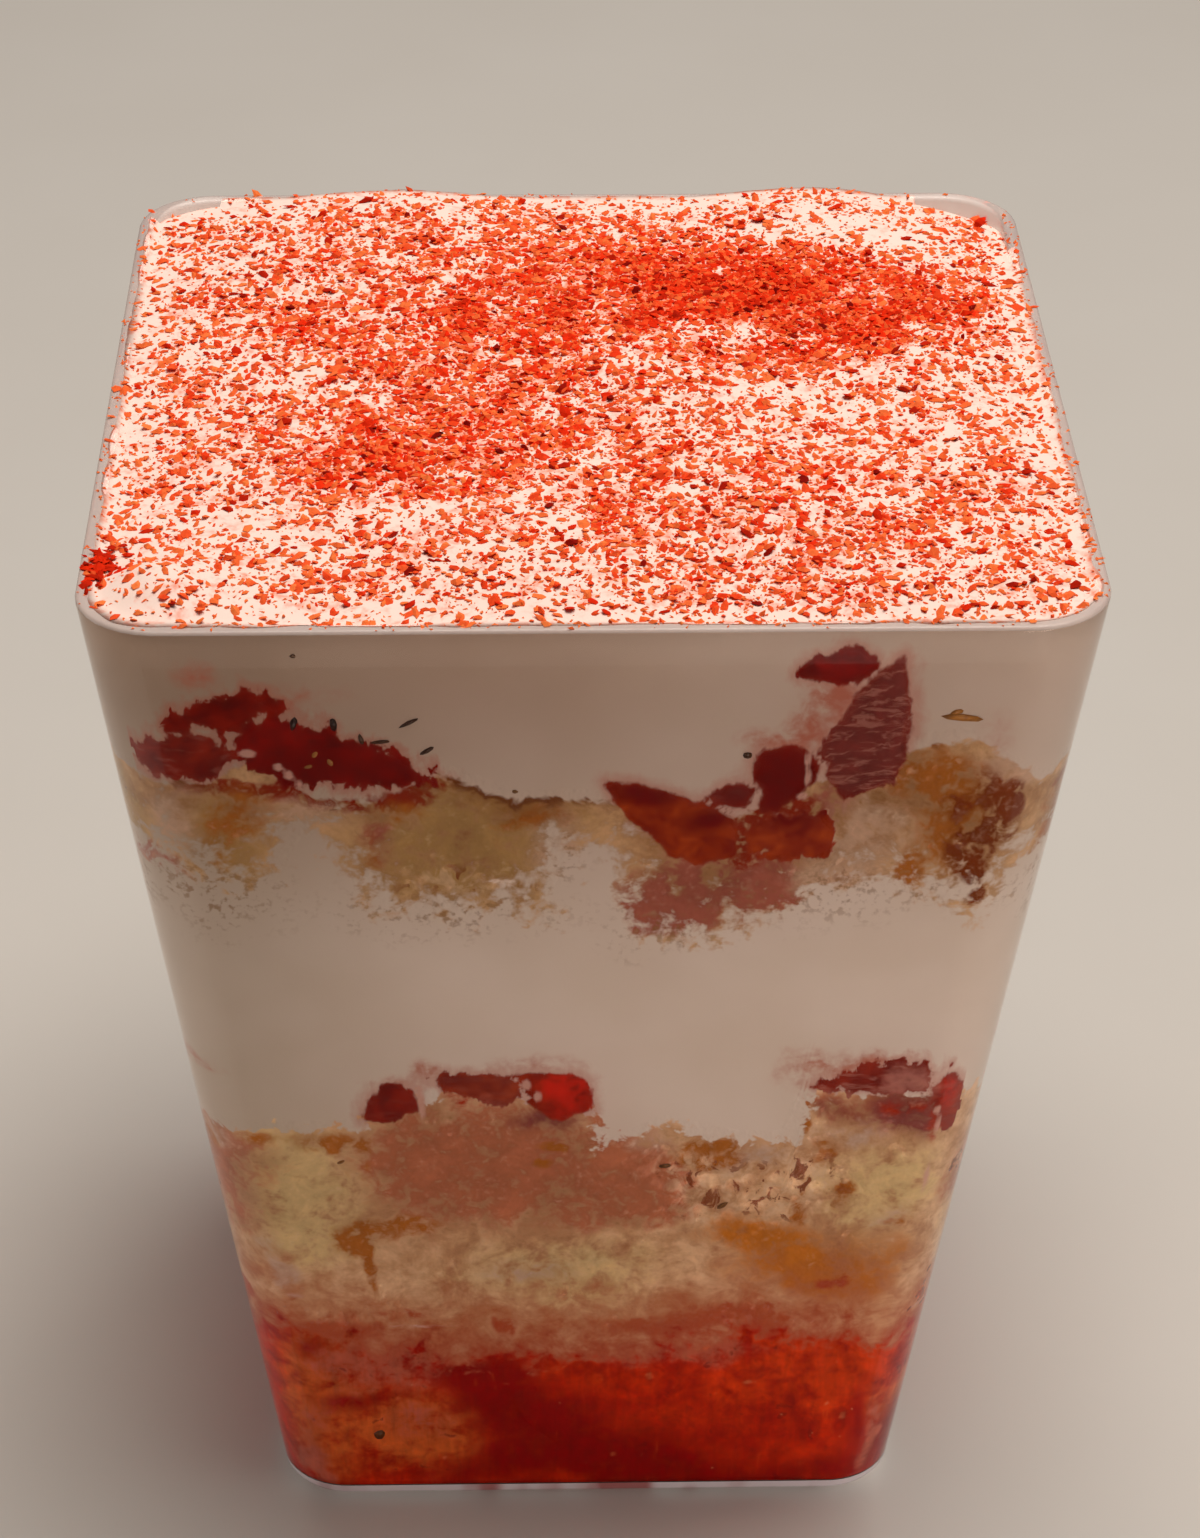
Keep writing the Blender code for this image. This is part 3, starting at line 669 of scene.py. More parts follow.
# A strawberry's look: orange flesh, purple flesh, pale streaks and ragged edge, each from 0 to 1
Look = namedtuple("Look", "orange purple streaks ragged")
LOOKS = {
    "upper_corner_slice": (0.2, 0.25, 0.5, 0.8), "upper_long_slice": (0.0, 0.0, 0.2, 1.0),
    "upper_seedy_dice": (0.1, 0.0, 0.2, 1.0), "upper_wedge": (0.85, 0.0, 0.2, 0.3),
    "upper_chip": (0.1, 0.5, 0.3, 0.4), "upper_soft_chunk": (1.0, 0.1, 0.2, 0.9),
    "upper_chunk": (0.1, 0.0, 0.1, 0.3), "upper_streaked_slice": (0.1, 1.0, 1.0, 0.4),
    "upper_tall_dice": (0.0, 0.1, 0.1, 0.5), "lower_dice": (0.15, 0.1, 0.3, 0.4),
    "lower_thin_slice": (0.75, 0.45, 0.3, 0.6), "lower_chunk": (0.4, 0.0, 0.2, 0.3),
    "lower_flat_slice": (0.25, 0.3, 1.0, 0.9), "lower_corner_wedge": (0.4, 0.1, 0.4, 0.4),
}
OTHER_LOOKS = ((0.1, 0, 0.3, 0.7), (0.7, 0, 0.2, 0.5), (0.2, 0.5, 0.7, 0.7), (0.35, 0, 0.3, 0.4))


def look_of(fruit):
    kind = fruit.node.removeprefix("berry_")
    return Look(*LOOKS.get(kind, OTHER_LOOKS[sum(map(ord, kind)) % len(OTHER_LOOKS)]))


def side_place(side, points):
    """How far points lie along a side from its middle."""
    return (points[..., 0], points[..., 1], -points[..., 0], -points[..., 1])[side]


def pressed_outline(fruit):
    """The outline of a strawberry's flat face against the wall, as pairs of (along, height) in metres."""
    mesh = frame["nodes"][fruit.node].data
    points = np.array([vertex.co for vertex in mesh.vertices])
    inset, ways = wall_distance(points)
    flat = inset < SOLID_INSET + 0.3 * MM
    spots = np.stack((side_place(fruit.side, points), points[:, 2]), axis=1)
    used = {}
    for face in mesh.polygons:
        corners = list(face.vertices)
        outwards = face.normal.xy.dot(Vector(ways[corners[0]])) > 0.8
        if outwards and flat[corners].all():
            for a, b in zip(corners, corners[1:] + corners[:1]):
                ends = tuple(sorted((tuple(np.round(spots[a], 6)), tuple(np.round(spots[b], 6)))))
                used[ends] = used.get(ends, 0) + 1
    return np.array([ends for ends, times in used.items() if times == 1])


def inside_by(outline, spots):
    """How deep spots lie inside an outline, below 0 outside it."""
    start, end = outline[:, 0], outline[:, 1]
    along = end - start
    above = (start[:, 1] > spots[:, None, 1]) != (end[:, 1] > spots[:, None, 1])
    slope = along[:, 0] / np.where(along[:, 1] == 0, 1e-12, along[:, 1])
    crossing = start[:, 0] + (spots[:, None, 1] - start[:, 1]) * slope
    odd = (above & (spots[:, None, 0] < crossing)).sum(axis=1) % 2 == 1
    away = away_from(outline, spots)
    return np.where(odd, away, -away)


NEAR = 3.0 * MM  # no strawberry's look is worked out further out from it than this


def berry_numbers(turn, points):
    """How deep each point lies inside the nearest strawberry, in millimetres, and that strawberry's look."""
    depth = np.full(turn.shape, -NEAR / MM)
    looks = {f"berry_{name}": np.zeros(turn.shape) for name in Look._fields}
    side = np.floor(turn).astype(int) % 4
    for fruit in FRUITS:
        if fruit.height < BASE_TOP:
            continue
        outline = pressed_outline(fruit)
        spots = np.stack((side_place(fruit.side, points), points[..., 2]), axis=-1)
        low, high = outline.min(axis=(0, 1)) - NEAR, outline.max(axis=(0, 1)) + NEAR
        near = (side == fruit.side) & np.all((spots > low) & (spots < high), axis=-1)
        if not near.any():
            continue
        found = inside_by(outline, spots[near]) / MM
        better = found > depth[near]
        where = tuple(axis[better] for axis in np.nonzero(near))
        depth[where] = found[better]
        for name, value in look_of(fruit)._asdict().items():
            looks[f"berry_{name}"][where] = value
    return {"berry": depth, **looks}


def side_numbers(points):
    """What the sides' materials read at each point: distances in millimetres, and covering from 0 to 1."""
    turn, height = turn_of(points), points[..., 2]
    along = np.choose(np.floor(turn).astype(int) % 4, [side_place(side, points) for side in range(4)])
    sideways = 1.5 * rough_lumps(points, 3.8 * MM, 201) + 0.7 * rough_lumps(points, 1.4 * MM, 203)
    upwards = 1.5 * rough_lumps(points, 3.4 * MM, 205) + 0.7 * rough_lumps(points, 1.2 * MM, 207)
    warp = (sideways, upwards)
    numbers = {
        "over_compote": -below("compote_top", turn, height),
        "under_lower": below("lower_cake_top", turn, height),
        "under_upper": below("upper_cake_top", turn, height),
        "over_upper": -below("upper_cake_bottom", turn, height),
        "strayed": marked(STRAYED, 1, turn, height, warp),
        "skinned": marked(SKINNED, 2, turn, height, warp),
        "painted_glints": marked(PAINTED_GLINTS.spots, 5, turn, height, (0, 0)),
        "rise": height / MM,
        "along": along / MM,
    }
    for which, cake in CAKES.items():
        numbers[f"{which}_pored"] = marked(cake.pored, cake.lot, turn, height, warp)
    lot = 10
    for layer, tones in TONES.items():
        for name, tone in tones.items():
            lot += 7
            numbers[f"{layer}_{name}"] = marked(tone.spots, lot, turn, height, warp)
    return {**numbers, **berry_numbers(turn, points)}


# Pieces


def placed(name, data):
    """A new object in the scene that shows this mesh, light or camera."""
    made = bpy.data.objects.new(name, data)
    bpy.context.scene.collection.objects.link(made)
    return made


def mesh_piece(name, points, faces, finish, replaced=(), carried=None, smooth=True):
    """A finished piece that rides on the root, from its points, faces and the numbers its points carry."""
    mesh = bpy.data.meshes.new(name)
    mesh.from_pydata([tuple(point) for point in points.tolist()], [], faces)
    carry(mesh, carried or {})
    if smooth:
        mesh.shade_smooth()
    mesh.materials.append(finish)
    return dressed(placed(name, mesh), replaced)


def carry(mesh, numbers):
    """Stores numbers at the mesh's points, for its material to read."""
    for key, values in numbers.items():
        layer = mesh.attributes.new(key, "FLOAT", "POINT")
        layer.data.foreach_set("value", np.ascontiguousarray(values, np.float32).ravel())


def dressed(piece, replaced=()):
    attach(piece, "root")
    if replaced:
        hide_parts(*replaced)
    return piece


def ring_faces(rows, count, start=0):
    """Quads between rows of points that run round the cup, facing outwards."""
    faces = []
    for row in range(rows - 1):
        low = start + row * count
        for place in range(count):
            after = (place + 1) % count
            faces.append((low + place, low + after, low + count + after, low + count + place))
    return faces


def fan(loop_start, count, middle, upwards):
    """Triangles from a loop of points to the point in its middle."""
    faces = []
    for place in range(count):
        here, after = loop_start + place, loop_start + (place + 1) % count
        faces.append((here, after, middle) if upwards else (after, here, middle))
    return faces


def layer_rows(low, high, row_height):
    """Heights of the rows of a layer's side, from its lower to its upper end at every place."""
    rows = int(math.ceil((np.max(high) - np.min(low)) / row_height)) + 1
    share = np.linspace(0, 1, rows)[:, None]
    return mix(low[None, :], high[None, :], share)


def side_points(outline, heights, reach):
    """The points of a side that reaches into the wall by so much at each of them."""
    x, y = outline.points(heights, WALL - reach)
    return np.stack((x, y, heights), axis=-1)


def cake_cover(which, turn, height):
    """How deep in millimetres a point of the wall lies inside the cake; below 0 it is outside."""
    return np.minimum(below(CAKES[which].top, turn, height), -below(CAKES[which].bottom, turn, height))


def cream_reach(turn, height, points=None):
    """Cream lies against the wall except behind the cake."""
    reach = np.full(height.shape, CREAM_REACH)
    for which in CAKES:
        cover = cake_cover(which, turn, height)
        reach = np.minimum(reach, CREAM_REACH - np.clip(cover - 1.2, 0, TUCK / MM) * MM)
    return reach


def wall_layer(name, node, finish, low, high, row_height, reach):
    """A closed layer between two heights; reach gives how far its points lie in the wall."""
    outline = Outline(FINE_STEPS)
    heights = layer_rows(low(outline.turn), high(outline.turn), row_height)
    at_wall = side_points(outline, heights, 0)
    turn = np.broadcast_to(outline.turn, heights.shape)
    depth = reach(turn, heights, at_wall)
    numbers = {**side_numbers(at_wall), "sunk": np.clip(-depth / MM, 0, 2)}
    rows, count = heights.shape
    middles = [(0, 0, heights[0].mean()), (0, 0, heights[-1].mean())]
    points = np.concatenate((side_points(outline, heights, depth).reshape(-1, 3), middles))
    faces = ring_faces(rows, count) + fan(0, count, rows * count, False)
    faces += fan((rows - 1) * count, count, rows * count + 1, True)
    numbers = {key: np.append(values.ravel(), (0, 0)) for key, values in numbers.items()}
    mesh_piece(name, points, faces, finish, (node,), numbers)


def middle_of_upper_cake(turn):
    return (end_of("upper_cake_top", turn) + end_of("upper_cake_bottom", turn)) / 2


# Finishes


CREAM_ROUGHNESS, CAKE_ROUGHNESS, COMPOTE_ROUGHNESS, FRUIT_ROUGHNESS = 0.6, 0.8, 0.4, 0.42
TOP_CREAM = srgb(252, 226, 214)
DUST_STAIN = srgb(248, 118, 72)


def painted(paint, colour, layer, coarse, fine, grit):
    """Lays a food's tones over its own colour, each broken up by the noise where it lies."""
    uneven = 0.3 * coarse + 0.3 * fine + 0.1 * grit
    for name, tone in TONES[layer].items():
        share = paint.carried(f"{layer}_{name}") * (1 + tone.breakup * uneven)
        soft = 0.5 * tone.softness
        colour = paint.blend(share.step(0.5 - soft, 0.5 + soft), colour, tone.colour)
    return colour


def compote_colour(paint, coarse, fine, grit):
    """Crushed strawberries: red gel with fibres drawn upwards, orange flesh and pale flecks."""
    colour = paint.blend(coarse.step(-0.7, 0.7), srgb(200, 26, 0), srgb(218, 50, 2))
    colour = painted(paint, colour, "compote", coarse, fine, grit)
    fibres = paint.uneven(0.7 * MM, 3, 0.65, 0.3, (1, 1, 0.16))
    colour = paint.shade(colour, 0.26 * coarse + 0.2 * fine + 0.2 * fibres)
    colour = paint.blend(fibres.step(0.5, 1.2) * 0.35, colour, srgb(228, 104, 44))
    colour = paint.blend((0.7 * fine - 0.5 * coarse).step(0.5, 0.8) * 0.6, colour, srgb(126, 4, 0))
    return paint.blend((0.5 * fine + 0.7 * grit).step(0.85, 1.05) * 0.6, colour, srgb(240, 170, 120))


def lower_cake_colour(paint, coarse, fine, grit):
    """Sponge that has drawn up the compote's juice from below."""
    colour = paint.blend(coarse.step(-0.6, 0.6), srgb(218, 164, 120), srgb(234, 196, 156))
    colour = painted(paint, colour, "lower", coarse, fine, grit)
    colour = crumbly(paint, colour, "lower", coarse, fine, grit)
    over = paint.carried("over_compote") + 2.4 * coarse + 1.2 * fine
    colour = paint.blend(over.step(9.0, 2.0) * 0.65, colour, srgb(206, 118, 76))
    drawn_up = paint.shade(srgb(196, 84, 54), 0.12 * coarse + 0.08 * fine)
    return paint.blend(over.step(3.6, 0.0) * 0.8, colour, drawn_up)


def upper_cake_colour(paint, under, coarse, fine, grit):
    colour = paint.blend(coarse.step(-0.6, 0.6), srgb(192, 142, 96), srgb(216, 174, 130))
    colour = painted(paint, colour, "upper", coarse, fine, grit)
    colour = crumbly(paint, colour, "upper", coarse, fine, grit)
    skinned = (paint.carried("skinned") + 0.3 * fine).step(0.15, 0.75)
    colour = paint.blend(under.step(2.4, 0.3) * skinned * 0.6, colour, srgb(148, 92, 44))
    return paint.blend(under.hump(0.2, 0.5) * skinned * 0.85, colour, srgb(122, 66, 34))


def side_cream_colour(paint, berry, coarse, fine, grit):
    """Whipped cream with painted shade, darker towards the rim and towards the left, tinted by juice where it
    touches fruit.
    """
    soft = paint.uneven(9 * MM, 2, 0.5)
    colour = paint.blend(soft.step(-0.7, 0.7), srgb(236, 219, 205), srgb(242, 226, 214))
    # Painted shade: darker towards the rim, less so towards the right, and darker again towards the left,
    # where less light falls
    painted_rim_shade = paint.carried("rise").step(46, 76) * (1 - 0.4 * paint.across.step(-6 * MM, 12 * MM))
    colour = paint.darken(painted_rim_shade, colour, srgb(210, 195, 184))
    colour = paint.darken(paint.across.step(-8 * MM, -24 * MM), colour, srgb(230, 228, 222))
    colour = painted(paint, colour, "cream", coarse, fine, grit)
    return paint.blend((berry + 0.4 * coarse).step(-1.0, 0.0) * 0.5, colour, srgb(200, 116, 96))


def side_colour(paint, foods, coarse, fine, grit):
    """The colours of the foods that show round a piece of the side, which its neighbours share."""
    berry = paint.carried("berry") + paint.carried("berry_ragged") * ragged(paint, fine)
    colour = side_cream_colour(paint, berry, coarse, fine, grit)
    if "lower_cake" in foods:
        cake = lower_cake_colour(paint, coarse, fine, grit)
        if "compote" in foods:
            whole = paint.carried("over_compote") + 1.8 * coarse + 1.2 * fine
            cake = paint.blend(whole.step(-0.9, 0.9), compote_colour(paint, coarse, fine, grit), cake)
        covered = paint.carried("under_lower") + 0.8 * coarse + 0.8 * fine + 0.2 * grit
        colour = paint.blend(covered.step(-0.2, 0.25), colour, cake)
    if "upper_cake" in foods:
        under = paint.carried("under_upper") + 0.4 * coarse + 0.35 * fine
        torn = paint.carried("over_upper") + 3.0 * coarse + 1.7 * fine + 0.6 * grit
        shows = under.step(-0.15, 0.25).at_most(torn.step(-1.4, 1.2))
        colour = paint.blend(shows, colour, upper_cake_colour(paint, under, coarse, fine, grit))
        astray = paint.carried("strayed") * (0.5 * fine + 0.7 * grit).step(0.0, 0.7)
        colour = paint.blend(astray * 0.65, colour, srgb(150, 106, 62))
    if "fruit" in foods:
        colour = paint.blend(berry.step(-0.12, 0.16), colour, berry_colour(paint, berry, coarse, fine, grit))
    # Painted highlights: the pale glints laid over every food where their spots lie
    painted_glint = (paint.carried("painted_glints") + 0.1 * fine).step(0.25, 0.6)
    return paint.blend(painted_glint * 0.9, colour, PAINTED_GLINTS.colour)


def ragged(paint, fine):
    """The raggedness of a strawberry's edge, drawn out upwards, in millimetres."""
    return 0.75 * paint.uneven(1.0 * MM, 3, 0.6, 0.4, (1, 1, 0.5)) + 0.25 * fine


def crumbly(paint, colour, which, coarse, fine, grit):
    """Gives a cake its grain: pale crumbs, darker gaps and, where it is open, holes painted dark as their
    shade.
    """
    grain = 0.7 * fine + 0.4 * grit
    colour = paint.shade(colour, 0.1 * grain + 0.26 * coarse)
    colour = paint.darken(grain.step(-0.1, -1.1) * 0.35, colour, srgb(206, 156, 118))
    colour = paint.blend(grain.step(0.2, 1.2) * 0.3, colour, srgb(246, 218, 184))
    open_share = (paint.carried(f"{which}_pored") + 0.25 * coarse + 0.1 * fine).step(0.2, 0.75)
    holes = paint.uneven(1.35 * MM, 3, 0.6, 0.6, (1.15, 1.15, 0.85))
    colour = paint.blend(holes.step(0.05, -0.5) * open_share * 0.6, colour, srgb(240, 206, 172))
    # Painted shade: the open holes are painted dark brown
    return paint.blend(holes.step(0.2, 0.45) * open_share * 0.9, colour, srgb(136, 62, 28))


def berry_colour(paint, berry, coarse, fine, grit):
    """Cut strawberry: deep red at its skin, orange or purple flesh, fine pale streaks."""
    orange, purple = paint.carried("berry_orange"), paint.carried("berry_purple")
    deep = paint.blend(orange, srgb(112, 0, 0), srgb(150, 26, 0))
    flesh = paint.blend(orange, srgb(150, 14, 6), srgb(190, 74, 14))
    colour = paint.blend((0.6 * fine + coarse).step(-1.2, 1.3), deep, flesh)
    colour = paint.blend(purple * 0.85, colour, srgb(128, 56, 50))
    colour = painted(paint, colour, "fruit", coarse, fine, grit)
    colour = paint.shade(colour, 0.2 * coarse + 0.14 * fine)
    streak = paint.uneven(0.5 * MM, 3, 0.6, 0.3, (0.3, 0.3, 1))
    pale = streak.step(0.0, 0.7) * (paint.carried("berry_streaks") - 0.2).at_least(0) * 0.7
    slant = paint.carried("rise") - 0.25 * paint.carried("along") + 0.45 * coarse + 0.3 * fine
    stripes = (6.0 * slant).wave().step(0.7, 1.0) * purple.step(0.75, 1.0) * streak.step(-0.5, 0.3)
    colour = paint.blend(pale.at_least(0.55 * stripes), colour, srgb(196, 128, 112))
    return paint.blend(berry.step(0.5, 0.0) * 0.4, colour, srgb(158, 56, 38))


def grains(paint):
    """The three sizes of irregularity that every food shares."""
    coarse = paint.uneven(3.0 * MM, 4, 0.64, 0.4)
    fine = paint.uneven(1.1 * MM, 2, 0.55, 0.5)
    grit = paint.uneven(0.42 * MM, 2, 0.55)
    return coarse, fine, grit


def side_finish(name, foods, roughness, pitted=False, topped=False):
    """A food against the wall; a pitted one is cake, with painted shade in its pits, and a topped one goes
    over into the dusted top.
    """
    paint = Paint(name)
    coarse, fine, grit = grains(paint)
    colour = side_colour(paint, foods, coarse, fine, grit)
    if topped:
        topside = paint.carried("topside")
        colour = paint.blend(topside, colour, TOP_CREAM)
        colour = paint.blend(stained(paint, coarse, fine, grit) * topside, colour, DUST_STAIN)
    bump = None
    if pitted:
        # Painted shade: the cake is darkened where its surface sinks back from the wall into pits and under
        # its neighbours
        colour = paint.darken(0.7 * paint.carried("sunk").step(0.1, 0.8), colour, srgb(150, 88, 56))
        bump = paint.bump(paint.noise(0.9 * MM, 2, 0.6), 0.5, 0.35 * MM)
    return food_finish(paint, colour, roughness, fine, bump)


def food_finish(paint, colour, roughness, fine, bump=None):
    return paint.finish(colour, roughness + 0.05 * fine, bump, Specular_IOR_Level=0.04)


def stained(paint, coarse, fine, grit):
    """How strongly the dust has stained the cream under it."""
    dusty = 1.15 * paint.carried("dusty") + 0.1 * coarse + 0.3 * fine + 0.16 * grit
    return dusty.step(0.05, 0.7) * 0.9


def top_finish():
    """The cream's top, which shows no other food."""
    paint = Paint("dusted_cream")
    coarse, fine, grit = grains(paint)
    colour = paint.blend(stained(paint, coarse, fine, grit), TOP_CREAM, DUST_STAIN)
    return food_finish(paint, colour, CREAM_ROUGHNESS, fine)


def dust_finish():
    """Crumbs of freeze-dried strawberry: orange-red to deep red, dry and matt."""
    paint = Paint("strawberry_dust")
    tint = paint.carried("tint")
    colour = paint.blend(tint.step(0.0, 0.7), srgb(255, 134, 70), srgb(236, 46, 10))
    colour = paint.blend(tint.step(0.72, 1.0), colour, srgb(124, 8, 4))
    grain = paint.uneven(0.25 * MM, 3, 0.6)
    colour = paint.shade(colour, 0.12 * grain)
    return paint.finish(colour, 0.8 + 0.03 * grain, None, Specular_IOR_Level=0.05)


def seed_finish():
    """Strawberry seeds: straw-coloured to nearly black."""
    paint = Paint("strawberry_seed")
    tint = paint.carried("tint")
    grain = paint.noise(0.3 * MM, 2, 0.5)
    base = paint.blend(tint, srgb(196, 130, 50), srgb(46, 14, 8))
    base = paint.darken(grain.step(0.6, 0.3) * 0.3, base, srgb(150, 100, 60))
    return paint.finish(base, 0.35 + 0.1 * grain, Coat_Weight=0.2)


def cup_finish(name, shine):
    """Clear moulded plastic with the faintest haze and a warm cast."""
    paint = Paint(name)
    haze = paint.noise(14 * MM, 2, 0.5)
    paint.feed(paint.shader.inputs["Specular Tint"], (shine, shine, shine, 1))
    return paint.finish(srgb(252, 246, 243), 0.01 + 0.03 * haze, None, Transmission_Weight=1.0, IOR=1.45)


def rim_finish():
    """The lip and the bare plastic above the cream, milky with what has dried on it."""
    paint = Paint("clear_plastic_lip")
    film = paint.noise(3 * MM, 3, 0.6)
    colour = paint.blend(film, srgb(250, 226, 220), srgb(255, 246, 242))
    return paint.finish(colour, 0.15 + 0.1 * film, None, Transmission_Weight=0.55, IOR=1.3)


def foot_finish():
    """The foot's edge, painted with the reflections and highlights that the clear plastic shows there:
    pinkish in the middle, paler towards the ends, crossed by bright bars.
    """
    paint = Paint("foot_painted_reflections")
    highlight_bars = paint.uneven(4 * MM, 2, 0.5, 0.0, (1, 1, 0.2))
    ends = paint.across.size().step(6 * MM, 12 * MM)
    # Painted reflection and highlights: pinkish in the middle, paler at the ends, with bright bars
    reflected_tint = paint.blend(ends, srgb(196, 118, 118), srgb(220, 186, 190))
    colour = paint.blend((highlight_bars + 0.5 * ends).step(-0.3, 0.5), reflected_tint, srgb(252, 240, 246))
    return paint.finish(colour, 0.15 + 0.02 * highlight_bars, None, IOR=1.45)


# The cup


def cup_wall():
    """The cup as one closed skin: foot, outer wall, rounded lip, inner wall and floor."""
    outline = Outline(CUP_STEPS)
    quarter = [math.radians(angle) for angle in (0, 18, 36, 54, 72, 90)]
    foot = [(FOOT_ROUND * (1 - math.sin(a)), FOOT_ROUND * (1 - math.cos(a))) for a in quarter]
    lip_out = [(LIP_ROUND * (1 - math.cos(a)), CUP_HEIGHT - LIP_ROUND * (1 - math.sin(a))) for a in quarter]
    lip_in = [(WALL - inset, z) for inset, z in reversed(lip_out)]
    inner_foot = [(WALL + inset, FLOOR + z) for inset, z in reversed(foot)]
    bare = (WALL, CUP_HEIGHT - BARE_BAND)
    profile = [*foot, (0, FLOOR - 0.1 * MM), (0, CUP_HEIGHT - RIM_BAND), *lip_out, *lip_in, bare, *inner_foot]
    rows = []
    for inset, z in profile:
        x, y = outline.points(np.full(outline.count, z), inset)
        rows.append(np.stack((x, y, np.full(outline.count, z)), axis=-1))
    points = np.concatenate([*rows, [(0, 0, 0), (0, 0, FLOOR)]])
    count, last = outline.count, len(profile) * outline.count
    faces = ring_faces(len(profile), count)
    faces += fan(0, count, last, False)
    faces += fan(last - count, count, last + 1, True)
    cup = mesh_piece("cup_wall", points, faces, cup_finish("clear_plastic", 0.6), ("cup",))
    for finish in (cup_finish("clear_plastic_side", 0.0), foot_finish(), rim_finish()):
        cup.data.materials.append(finish)
    flat_side, foot_edge, lip = 1, 2, 3
    off_corner = np.abs(outline.along + 0.5 / CUP_STEPS) < 0.9
    kinds = np.zeros((len(profile) - 1, count), int)
    kinds[: len(foot)] = foot_edge
    kinds[len(foot), off_corner] = flat_side
    kinds[len(foot) + 3 : len(foot) + 2 + 2 * len(quarter)] = lip
    for face, kind in zip(cup.data.polygons, kinds.ravel()):
        face.material_index = kind
    cup.data.set_sharp_from_angle(angle=math.radians(35))
    cup.visible_shadow = False


# The layers


def compote():
    def low(turn):
        return np.full(turn.shape, FLOOR - FLOOR_REACH)

    def high(turn):
        return end_of("compote_top", turn) + TUCK

    def reach(turn, height, points):
        return CREAM_REACH - 0.6 * np.clip(height - end_of("compote_top", turn), 0, TUCK)

    finish = side_finish("strawberry_compote", ("compote", "lower_cake"), COMPOTE_ROUGHNESS)
    wall_layer("compote_fill", "strawberry_compote", finish, low, high, SMOOTH_ROW, reach)


def sponge(which):
    """A cake that shows where its cover says, with a torn, pored side."""
    cake = CAKES[which]

    def low(turn):
        return end_of(cake.bottom, turn) - cake.under

    def high(turn):
        return end_of(cake.top, turn) + CAKE_TUCK

    def reach(turn, height, points):
        inside = cake_cover(which, turn, height)
        open_share = marked(cake.pored, cake.lot, turn, height, (0, 0))
        uneven = np.clip(lumps(points, 2.6 * MM, 57), 0, 1)
        pits = 0.45 * open_share * pores(points, PORE, 51) + 0.3 * uneven * pores(points, FINE_PORE, 55)
        pits = pits * np.clip(inside / 0.8, 0, 1)
        slope = np.clip(-inside - 0.8, 0, 1.4) * SINK / MM
        edge = np.clip(-inside - 2.2, 0, TUCK / MM)
        return SPONGE_REACH - (pits * 0.7 + slope + edge) * MM

    finish = side_finish(cake.finish, cake.foods, CAKE_ROUGHNESS, pitted=True)
    wall_layer(f"sponge_{which}_crumb", f"sponge_{which}", finish, low, high, FINE_ROW, reach)


def cream_middle():
    def low(turn):
        return end_of("lower_cake_top", turn) - 2.5 * MM

    high = middle_of_upper_cake
    finish = side_finish("whipped_cream", ("lower_cake", "upper_cake", "fruit"), CREAM_ROUGHNESS)
    wall_layer("cream_middle_soft", "cream_middle", finish, low, high, SMOOTH_ROW, cream_reach)


# The top


CREAM_CROWN = 0.9 * MM
CREAM_EDGE = 0.2 * MM
CREAM_SWELL = 0.55 * MM
CREAM_SWELL_SIZE = 11.0 * MM
BACK_LIFT = 0.8 * MM
BACK_SWELLS = ((-0.4, 0.24), (0.52, 0.2))
HOLLOWS = ((-0.98, 0.10, 0.5 * MM), (0.97, 0.14, 1.3 * MM))
SMEAR_HEIGHT = 1.0 * MM
SMEAR_PLACE = (-0.84, -0.82)
SMEAR_REACH = 0.08
# The cream laps onto the lip wherever it stands this close under it
LAP_DEPTH = 0.45 * MM
LAP_HEIGHT = 0.04 * MM
LAP_WIDTH = 0.35 * MM
RIM_DUSTINESS = 0.3
# What the side's materials read on the top, which is far from every other food
FAR_FROM_FOOD = {"under_upper": -8.0, "under_lower": -8.0, "over_compote": 8.0, "berry": -8.0}
# Where dust lies thick, as shares of half the rim: amount, middle, reach to each side and to front and back
DUST_HEAPS = (
    (1.0, 0.4, 0.41, 0.4, 0.22), (0.26, -0.28, -0.3, 0.34, 0.4),
    (0.21, -0.2, 0.36, 0.5, 0.5), (0.16, 0.42, -0.66, 0.4, 0.4),
)
# Patches with little dust, in millimetres: middle and reach
BARE_PATCHES = (
    (10, 6.5, 3.4, 1.3), (-22, -17, 4, 2), (-26, -25, 3.4, 4), (-12, -17, 4, 1.6), (22, 22, 5, 4.5),
    (14, 22, 6, 2.2), (-22, 27, 9, 2.4), (10, 28, 12, 2),
)


def crown(x, y, share_out):
    """The broad form of the cream's top at a point, a share of the way from the middle to the wall."""
    half = RIM_WIDTH / 2
    dome = CREAM_CROWN * (1 - share_out**4)
    swell = CREAM_SWELL * noise.noise(Vector((x, y, 0)) / CREAM_SWELL_SIZE) * (1 - 0.4 * share_out)
    backwards = max(0.0, y / half) ** 2
    swells = sum(math.exp(-(((x / half - at) / reach) ** 2)) for at, reach in BACK_SWELLS)
    lift = BACK_LIFT * backwards * swells
    hollows = 0.0
    for at, reach, depth in HOLLOWS:
        away = math.hypot(x / half - at, y / half - 1)
        hollows += depth * math.exp(-((away / reach) ** 2) / 2)
    smear_away = math.hypot(x / half - SMEAR_PLACE[0], y / half - SMEAR_PLACE[1])
    smear = SMEAR_HEIGHT * math.exp(-((smear_away / SMEAR_REACH) ** 2))
    return CUP_HEIGHT - CREAM_EDGE + dome + swell + lift + smear - hollows


def heap(x, y, at_x, at_y, reach_x, reach_y):
    return np.exp(-(((x - at_x) / reach_x) ** 2) - ((y - at_y) / reach_y) ** 2)


